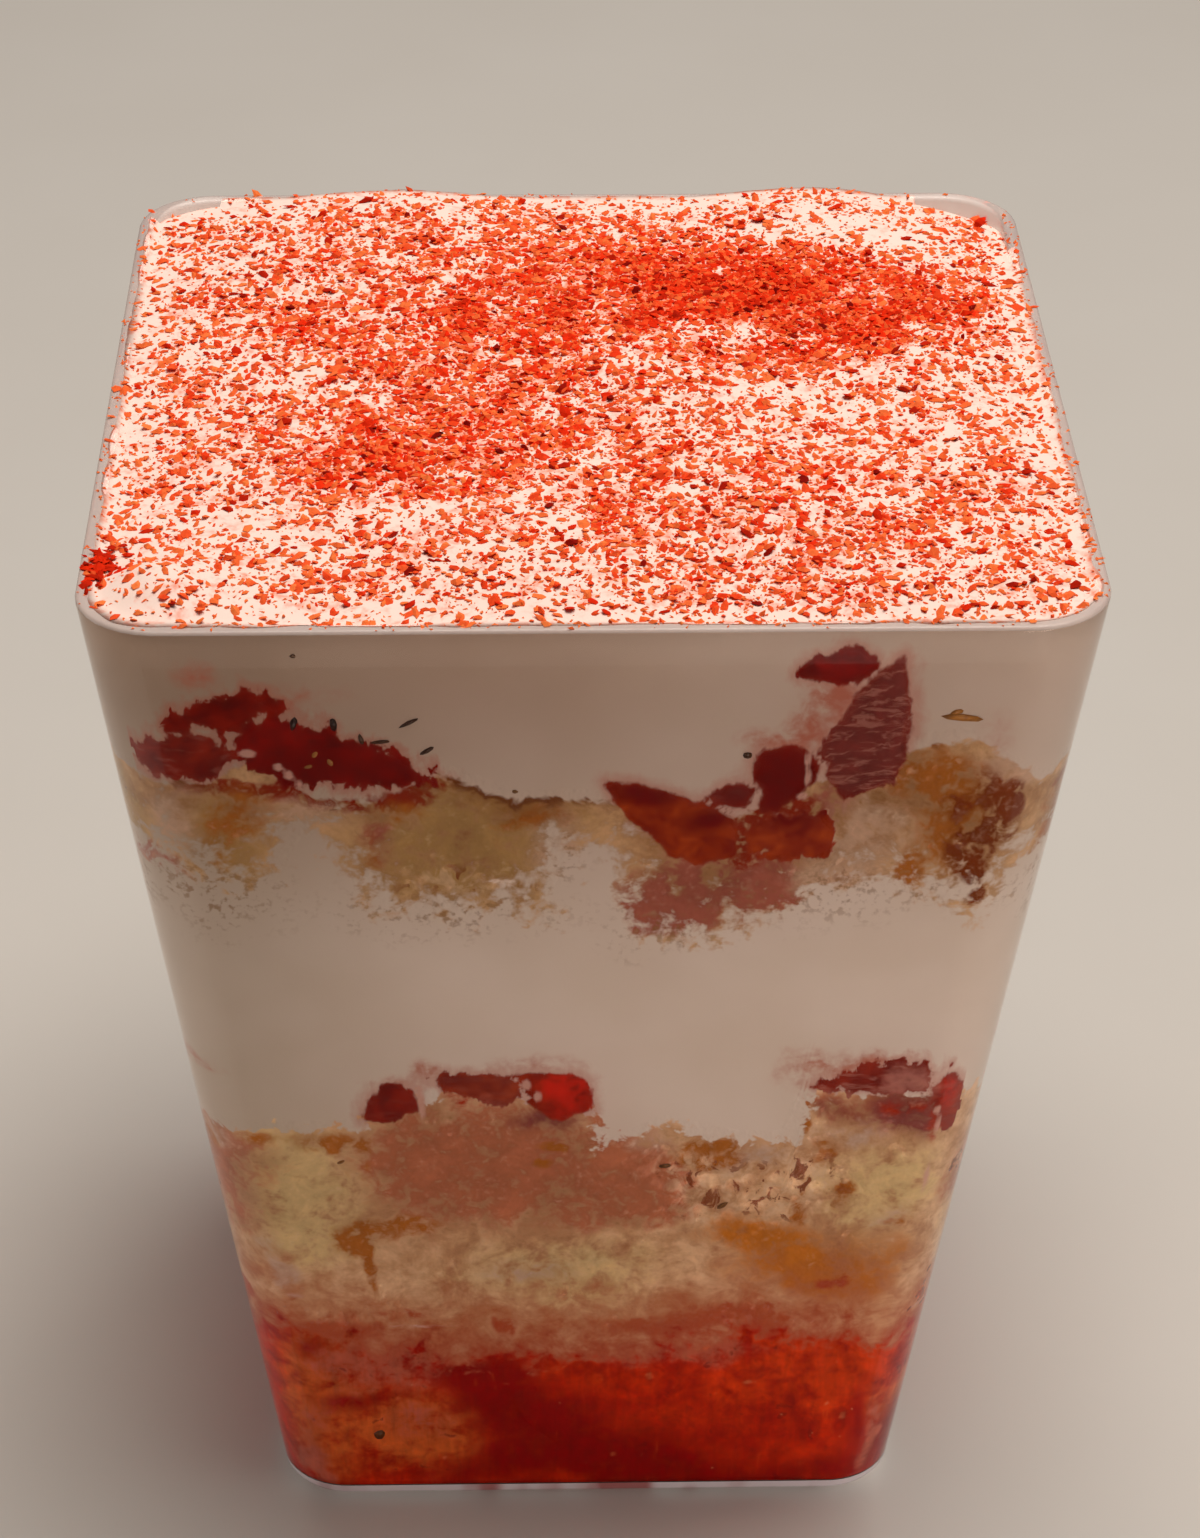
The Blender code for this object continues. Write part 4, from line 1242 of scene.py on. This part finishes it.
def dustiness(x, y):
    """How thickly the dust lies at points of the top, from 0 to 1: a band towards the back is thickest."""
    half = RIM_WIDTH / 2
    u, v = x / half, y / half
    thick = 0.19 + sum(amount * heap(u, v, *place) for amount, *place in DUST_HEAPS)
    edge = np.clip((1 - np.maximum(np.abs(u), np.abs(v))) / 0.12, 0.25, 1)
    flat = np.stack((x, y, np.zeros_like(x)), axis=-1)
    patches = (0.8 + 0.5 * rough_lumps(flat, 5 * MM, 71)) * (0.8 + 0.9 * rough_lumps(flat, 1.7 * MM, 73))
    bare = np.maximum(1 - 0.75 * sum(heap(x / MM, y / MM, *place) for place in BARE_PATCHES), 0.1)
    return np.clip(thick * edge * patches * bare, 0, 1)


def cream_top():
    """The dusted cream: its side against the wall, closed by a grid of points over the top."""
    outline = Outline(FINE_STEPS)
    low = middle_of_upper_cake(outline.turn)
    edge_x, edge_y = outline.points(np.full(outline.count, CUP_HEIGHT), WALL - CREAM_REACH)
    high = np.array([crown(x, y, 1.0) for x, y in zip(edge_x, edge_y)])
    laps = high > CUP_HEIGHT - LAP_DEPTH
    high = np.where(laps, np.maximum(high, CUP_HEIGHT + LAP_HEIGHT), high)
    heights = layer_rows(low, high, SMOOTH_ROW)
    at_wall = side_points(outline, heights, 0)
    reach = cream_reach(np.broadcast_to(outline.turn, heights.shape), heights)
    lap = LAP_WIDTH * (1 + 0.9 * rough_lumps(at_wall[-1], 2.6 * MM, 85))
    reach[-1] = np.where(laps, lap, CREAM_REACH)
    side = side_points(outline, heights, reach).reshape(-1, 3)

    top, places = cream_grid(len(side), len(side) - outline.count)
    points = np.concatenate((side, top, [(0, 0, low.mean())]))
    faces = ring_faces(len(heights), outline.count) + fan(0, outline.count, len(points) - 1, False)
    side_faces = len(faces)
    corners = (places[:-1, :-1], places[:-1, 1:], places[1:, 1:], places[1:, :-1])
    faces += np.stack(corners, axis=-1).reshape(-1, 4).tolist()

    rim = slice(len(side) - outline.count, len(side))
    dusty = np.concatenate((np.zeros(len(side)), dustiness(top[:, 0], top[:, 1]), [0]))
    dusty[rim] = RIM_DUSTINESS
    topside = np.ones(len(points))
    topside[: rim.start] = 0
    numbers = {"dusty": dusty, "topside": topside}
    for name, values in side_numbers(at_wall).items():
        beyond = np.full(len(top) + 1, FAR_FROM_FOOD.get(name, 0.0))
        numbers[name] = np.concatenate((values.ravel(), beyond))
    finish = side_finish("whipped_cream_top", ("upper_cake", "fruit"), CREAM_ROUGHNESS, topped=True)
    piece = mesh_piece("cream_top_soft", points, faces, finish, ("cream_top",), numbers)
    piece.data.materials.append(top_finish())
    for face in piece.data.polygons[side_faces:]:
        face.material_index = 1
    drop_loose_points(piece)
    return piece


def cream_grid(start, rim_row):
    """The top's points, and the grid of their numbers, which start here and end at the side's rim."""
    half_grid = FINE_STEPS // 2
    column, row = np.meshgrid(*[np.arange(-half_grid, half_grid + 1)] * 2)
    ring = np.maximum(np.abs(column), np.abs(row))
    share = ring / half_grid
    turn = turn_of(np.stack((column, row), axis=-1) / np.maximum(ring, 1)[..., None])
    along = turn % 1 * 2 - 1
    x, y = wall_points(np.floor(turn), along, np.full(turn.shape, CUP_HEIGHT), WALL - CREAM_REACH)
    x, y, share = (x * share).ravel(), (y * share).ravel(), share.ravel()
    flat = np.stack((x, y, np.zeros_like(x)), axis=-1)
    knife = 0.16 * rough_lumps(flat * (0.45, 1.0, 1.0), 2.6 * MM, 81) + 0.07 * rough_lumps(flat, 0.9 * MM, 83)
    broad = [crown(*point) for point in zip(x, y, share)]
    top = flat + np.stack((0 * x, 0 * x, broad + knife * MM * np.clip((1 - share) / 0.05, 0, 1)), axis=-1)
    places = np.arange(len(top)).reshape(ring.shape) + start
    outermost = ring == half_grid
    places[outermost] = rim_row + np.rint(turn[outermost] * FINE_STEPS).astype(int) % (4 * FINE_STEPS)
    return top, places


def drop_loose_points(piece):
    """Removes the points that no face uses."""
    edit = bmesh.new()
    edit.from_mesh(piece.data)
    bmesh.ops.delete(edit, geom=[vert for vert in edit.verts if not vert.link_faces], context="VERTS")
    edit.to_mesh(piece.data)
    edit.free()


# Dust: joined shards of three sizes


POWDER_COUNT, FLAKE_COUNT, CRUMB_COUNT = 28000, 13000, 420
RIM_POWDER_COUNT, RIM_FLAKE_COUNT, SMUDGE_COUNT = 340, 36, 70
TRIES = 4000  # places drawn at a time


def shard_shape(around):
    """Points and faces of a shard: a ring of points with one above and one below."""
    angles = [math.tau * step / around for step in range(around)]
    points = [(math.cos(a), math.sin(a), 0) for a in angles] + [(0, 0, 1), (0, 0, -1)]
    faces = [(i, (i + 1) % around, around) for i in range(around)]
    faces += [((i + 1) % around, i, around + 1) for i in range(around)]
    return np.array(points), np.array(faces)


def scattered(name, spots, around, lengths, tints, finish, draw, lift=0.25):
    """Shards lying at spots, as one mesh, uneven in size, turn and tint; lone ones are paler."""
    shape, shape_faces = shard_shape(around)
    count = len(spots)
    uneven = draw.uniform(0.55, 1.25, (count, len(shape), 1))
    length = draw.uniform(*lengths, count) * draw.uniform(0.7, 1.15, count)
    width, thickness = length * draw.uniform(0.35, 0.7, count), length * draw.uniform(0.2, 0.45, count)
    size = np.stack((length, width, thickness), -1) / 2
    points = shape[None] * uneven * size[:, None, :]
    yaw, tilt = draw.uniform(0, math.tau, count), draw.normal(0, 0.35, count)
    cos, sin = np.cos(tilt)[:, None], np.sin(tilt)[:, None]
    x, y, z = points[..., 0], points[..., 1], points[..., 2]
    x, z = x * cos - z * sin, x * sin + z * cos
    cos, sin = np.cos(yaw)[:, None], np.sin(yaw)[:, None]
    x, y = x * cos - y * sin, x * sin + y * cos
    centre = spots + np.stack((np.zeros(count), np.zeros(count), size[:, 2] * lift), -1)
    points = np.stack((x, y, z), -1) + centre[:, None, :]
    faces = (shape_faces[None] + np.arange(count)[:, None, None] * len(shape)).reshape(-1, 3)
    thick = dustiness(spots[:, 0], spots[:, 1])
    paler = 1 - 0.55 * np.clip(1 - thick / 0.5, 0, 1)
    tint = tints[0] + (draw.uniform(*tints, count) - tints[0]) * paler + 0.2 * thick
    tint = np.repeat(np.minimum(tint, tints[1]), len(shape))
    points, faces = points.reshape(-1, 3), faces.tolist()
    mesh_piece(name, points, faces, finish, (), {"tint": tint}, smooth=False)


def dust_spots(count, cream, draw, floor=0.0, margin=0.4 * MM):
    """Points on the cream, thick where dustiness is high; floor lifts the chance everywhere."""
    half = RIM_WIDTH / 2 - margin
    found = []
    while len(found) < count:
        x, y = draw.uniform(-half, half, TRIES), draw.uniform(-half, half, TRIES)
        kept = draw.uniform(0, 1, TRIES) < floor + (1 - floor) * dustiness(x, y)
        for a, b in zip(x[kept], y[kept]):
            hit, point, _, _ = cream.ray_cast((a, b, 2 * CUP_HEIGHT), (0, 0, -1))
            if hit and point.z > CUP_HEIGHT - 3 * MM:
                found.append(tuple(point))
    return np.array(found[:count])


def rim_spots(count, draw):
    """Points on the cup's lip where dust has landed, mostly at its left and right."""
    side, along = draw.choice(4, count, p=(0.16, 0.36, 0.12, 0.36)), draw.uniform(-0.95, 0.95, count)
    x, y = wall_points(side, along, np.full(count, CUP_HEIGHT), draw.uniform(0.15, 0.95, count) * MM)
    return np.stack((x, y, np.full(count, CUP_HEIGHT)), axis=-1)


def smudge_spots(count, draw):
    """Points of a smudge of juice and dust on the lip, near the front's left corner."""
    x, y = draw.normal(-28.7, 0.45, count), draw.normal(-22.4, 1.2, count)
    return np.stack((np.maximum(x, -29.7), y, np.full(count, CUP_HEIGHT / MM)), axis=-1) * MM


def dust(cream):
    finish = dust_finish()
    draw = np.random.default_rng(SEED)
    powder = np.concatenate((dust_spots(POWDER_COUNT, cream, draw, 0.02), rim_spots(RIM_POWDER_COUNT, draw)))
    scattered("dust_powder", powder, 3, (0.26 * MM, 0.56 * MM), (0, 0.6), finish, draw)
    flakes = np.concatenate((dust_spots(FLAKE_COUNT, cream, draw, 0.03), rim_spots(RIM_FLAKE_COUNT, draw)))
    scattered("dust_flakes", flakes, 5, (0.5 * MM, 1.16 * MM), (0.1, 0.84), finish, draw)
    crumbs = dust_spots(CRUMB_COUNT, cream, draw, 0.3, 1.6 * MM)
    crumbs = np.concatenate((crumbs, smudge_spots(SMUDGE_COUNT, draw)))
    scattered("dust_crumbs", crumbs, 6, (0.6 * MM, 1.25 * MM), (0.75, 1.0), finish, draw, 0.5)


# Strawberries


def berry_piece(fruit, finish, reach):
    """A strawberry piece: its solid's form, rounded, uneven, and pressed flat against the wall."""
    source = frame["nodes"][fruit.node]
    edit = bmesh.new()
    edit.from_mesh(source.data)
    bmesh.ops.remove_doubles(edit, verts=edit.verts, dist=1e-6)
    for vert in edit.verts:
        inset, way = wall_distance(np.array([vert.co]))
        push = (SOLID_INSET - WALL + reach) * max(0.0, 1 - (inset[0] - SOLID_INSET) / TUCK)
        vert.co.x += way[0][0] * push
        vert.co.y += way[0][1] * push
    shape = bpy.data.meshes.new(fruit.node)
    edit.to_mesh(shape)
    edit.free()
    piece = placed(f"{fruit.node}_flesh", shape)
    remesh = piece.modifiers.new("even", "REMESH")
    remesh.mode = "VOXEL"
    remesh.voxel_size = BERRY_VOXEL
    soften = piece.modifiers.new("soften", "SMOOTH")
    soften.iterations = 3
    graph = bpy.context.evaluated_depsgraph_get()
    piece.data = bpy.data.meshes.new_from_object(piece.evaluated_get(graph))
    piece.modifiers.clear()

    mesh = piece.data
    points = vertex_values(mesh, "co")
    normals = vertex_values(mesh, "normal")
    inset, _ = wall_distance(points)
    pressed = inset < WALL + PRESSED
    uneven = 0.3 * lumps(points, 2.1 * MM, 91) + 0.2 * lumps(points, 0.8 * MM, 92) + 0.2
    points = points + normals * (uneven * ~pressed)[:, None] * MM
    edge = rim_distance(points, pressed)
    inset, way = wall_distance(points)
    sunk = np.clip(1 - edge / BERRY_EDGE, 0, 1) * SINK
    target = np.where(pressed, WALL - reach + sunk, np.maximum(inset, WALL - reach + SINK))
    points[:, :2] -= way * (target - inset)[:, None]
    mesh.vertices.foreach_set("co", points.ravel())
    carry(mesh, side_numbers(points))
    mesh.shade_smooth()
    mesh.materials.append(finish)
    dressed(piece, (fruit.node,))


def vertex_values(mesh, what):
    values = np.empty(len(mesh.vertices) * 3)
    mesh.vertices.foreach_get(what, values)
    return values.reshape(-1, 3)


def rim_distance(points, pressed):
    """How far each pressed point is from the nearest that isn't; the others get 0."""
    tree = kdtree.KDTree(int((~pressed).sum()))
    for number, point in enumerate(points[~pressed]):
        tree.insert(point, number)
    tree.balance()
    return np.array([tree.find(point)[2] if flat else 0.0 for point, flat in zip(points, pressed)])


def strawberries():
    in_compote = side_finish("crushed_strawberry", ("compote", "lower_cake"), FRUIT_ROUGHNESS)
    in_lower = side_finish("strawberry_on_lower_cake", ("lower_cake", "fruit"), FRUIT_ROUGHNESS)
    in_upper = side_finish("strawberry_on_upper_cake", ("upper_cake", "fruit"), FRUIT_ROUGHNESS)
    for number, fruit in enumerate(FRUITS):
        at_base = fruit.height < BASE_TOP
        reach = BERRY_REACH - BERRY_SPREAD + BERRY_STEP * (number % BERRY_STEPS)
        finish = in_compote if at_base else in_lower if fruit.height < MIDDLE_TOP else in_upper
        berry_piece(fruit, finish, SPONGE_REACH if at_base else reach)


# Small things pressed against the wall: seeds and specks


Seed = namedtuple("Seed", "side at height length width tilt dark")  # millimetres, degrees, 0 straw to 1 black
FRONT_SEEDS = (
    (-18.0, 67.0, 1.2, 0.55, 80, 1.0), (-15.6, 67.0, 1.1, 0.45, 95, 1.0),
    (-16.8, 64.8, 0.8, 0.45, 60, 0.15), (-15.9, 64.2, 0.8, 0.45, 110, 0.2),
    (-17.2, 63.9, 0.7, 0.4, 20, 0.25), (-11.1, 67.1, 1.4, 0.3, 32, 0.95), (-12.8, 65.7, 1.2, 0.3, 8, 0.9),
    (-10.1, 65.0, 1.1, 0.35, 35, 0.95), (-14.0, 65.9, 0.9, 0.3, 100, 0.9), (9.2, 64.5, 0.6, 0.5, 0, 0.9),
    (-4.8, 61.9, 0.4, 0.3, 0, 0.6), (-17.8, 72.0, 0.35, 0.3, 0, 0.8), (22.0, 67.2, 2.4, 0.55, -6, 0.0),
    (21.6, 67.6, 0.8, 0.4, 20, 0.1), (-14.6, 5.8, 1.0, 0.8, 70, 0.8), (4.9, 31.0, 0.8, 0.4, 10, 0.7),
    (8.8, 27.4, 0.9, 0.35, 40, 0.6), (-16.4, 31.6, 0.6, 0.3, 30, 0.5),
)


SEED_RING = 8
SEED_BULGE = 0.05 * MM
SEED_DEPTH = 0.2 * MM
SEED_BACK = 0.06 * MM


def wall_spot(side, at, height, reach):
    """The point of a side at a place along it and a height in millimetres, reaching into the wall."""
    half = half_width(height * MM)
    along = at * MM / (half - WALL)
    x, y = wall_points(np.array([side]), np.array([along]), np.array([height * MM]), WALL - reach)
    return np.array((x[0], y[0], height * MM))


def seeds():
    """Seeds and specks, each a flattened lozenge against the wall."""
    draw = random.Random(SEED)
    every = [Seed(FRONT, *seed) for seed in FRONT_SEEDS]
    for fruit in FRUITS:
        for _ in range(3 if fruit.side != FRONT else 0):
            at = fruit.at + draw.uniform(-0.6, 0.6) * fruit.reach
            height = fruit.height + draw.uniform(-0.6, 0.6) * fruit.rise
            length, width, tilt = draw.uniform(0.8, 1.2), draw.uniform(0.35, 0.5), draw.uniform(0, 180)
            every.append(Seed(fruit.side, at, height, length, width, tilt, draw.random()))
    shape, shape_faces = shard_shape(SEED_RING)
    points, faces, tints = [], [], []
    for seed in every:
        centre = Vector(wall_spot(seed.side, seed.at, seed.height, SEED_REACH - SEED_BACK))
        turn = Matrix.Rotation(seed.side * math.pi / 2, 3, "Z") @ Matrix.Rotation(TAPER, 3, "X")
        turn = turn @ Matrix.Rotation(-math.radians(seed.tilt), 3, "Y")
        faces += (shape_faces + len(points)).tolist()
        for x, z, _ in shape[:SEED_RING]:
            offset = Vector((x * seed.length / 2, 0, z * seed.width / 2)) * MM
            points.append(centre + turn @ (offset * draw.uniform(0.85, 1.1)))
        points += [centre + turn @ Vector((0, depth, 0)) for depth in (-SEED_BULGE, SEED_DEPTH)]
        tints += [seed.dark] * len(shape)
    mesh_piece("seeds", np.array(points), faces, seed_finish(), (), {"tint": tints})


# Stage

FLOOR_SIZE = 2.0
LENS = 93.89
CAMERA_PLACE = (-4.898 * MM, -226.425 * MM, 189.256 * MM)
CAMERA_YAW, CAMERA_PITCH, CAMERA_ROLL = (math.radians(angle) for angle in (1.506, 32.37, 0.393))


def floor():
    paint = Paint("floor")
    grain = paint.noise(30 * MM, 3, 0.5)
    colour = paint.blend(grain, srgb(205, 200, 193), srgb(210, 206, 200))
    mesh = bpy.data.meshes.new("floor")
    corners = [(x * FLOOR_SIZE, y * FLOOR_SIZE, 0) for x, y in ((-1, -1), (1, -1), (1, 1), (-1, 1))]
    mesh.from_pydata(corners, [], [(0, 1, 2, 3)])
    mesh.materials.append(paint.finish(colour, 0.6))
    stage = placed("floor", mesh)


def lamp(name, power, size, place, target, colour):
    light = bpy.data.lights.new(name, "AREA")
    light.energy = power
    light.size = size
    light.color = colour
    holder = placed(name, light)
    holder.location = place
    holder.rotation_euler = (Vector(target) - Vector(place)).to_track_quat("-Z", "Y").to_euler()


def lights():
    lamp("overhead", 4.35, 0.42, (0.08, 0.06, 0.66), (0, 0, 0.05), (1.0, 0.93, 0.86))
    lamp("front_fill", 0.036, 0.05, (0.066, -0.135, 0.014), (0, 0, 0.035), (1.0, 0.9, 0.82))
    lamp("left_fill", 0.075, 0.08, (-0.22, -0.01, 0.03), (0, 0, 0.02), (1.0, 0.92, 0.86))
    world = bpy.data.worlds.new("studio")
    bpy.context.scene.world = world
    world.use_nodes = True
    background = world.node_tree.nodes["Background"]
    background.inputs["Color"].default_value = (1.0, 0.92, 0.86, 1)
    background.inputs["Strength"].default_value = 0.07


def camera():
    """Looks down on the front from a little left, as one looks at a dessert on a table."""
    data = bpy.data.cameras.new("camera")
    data.lens = LENS
    data.sensor_width = 36.0
    data.clip_start = 0.01
    view = placed("camera", data)
    view.location = CAMERA_PLACE
    turn = Matrix.Rotation(-CAMERA_YAW, 3, "Z") @ Matrix.Rotation(math.pi / 2 - CAMERA_PITCH, 3, "X")
    view.rotation_euler = (turn @ Matrix.Rotation(CAMERA_ROLL, 3, "Z")).to_euler()
    bpy.context.scene.camera = view


def main():
    bpy.context.scene.view_settings.view_transform = "Standard"
    floor()
    lights()
    camera()
    cup_wall()
    compote()
    sponge("lower")
    cream_middle()
    sponge("upper")
    dust(cream_top())
    strawberries()
    seeds()


main()
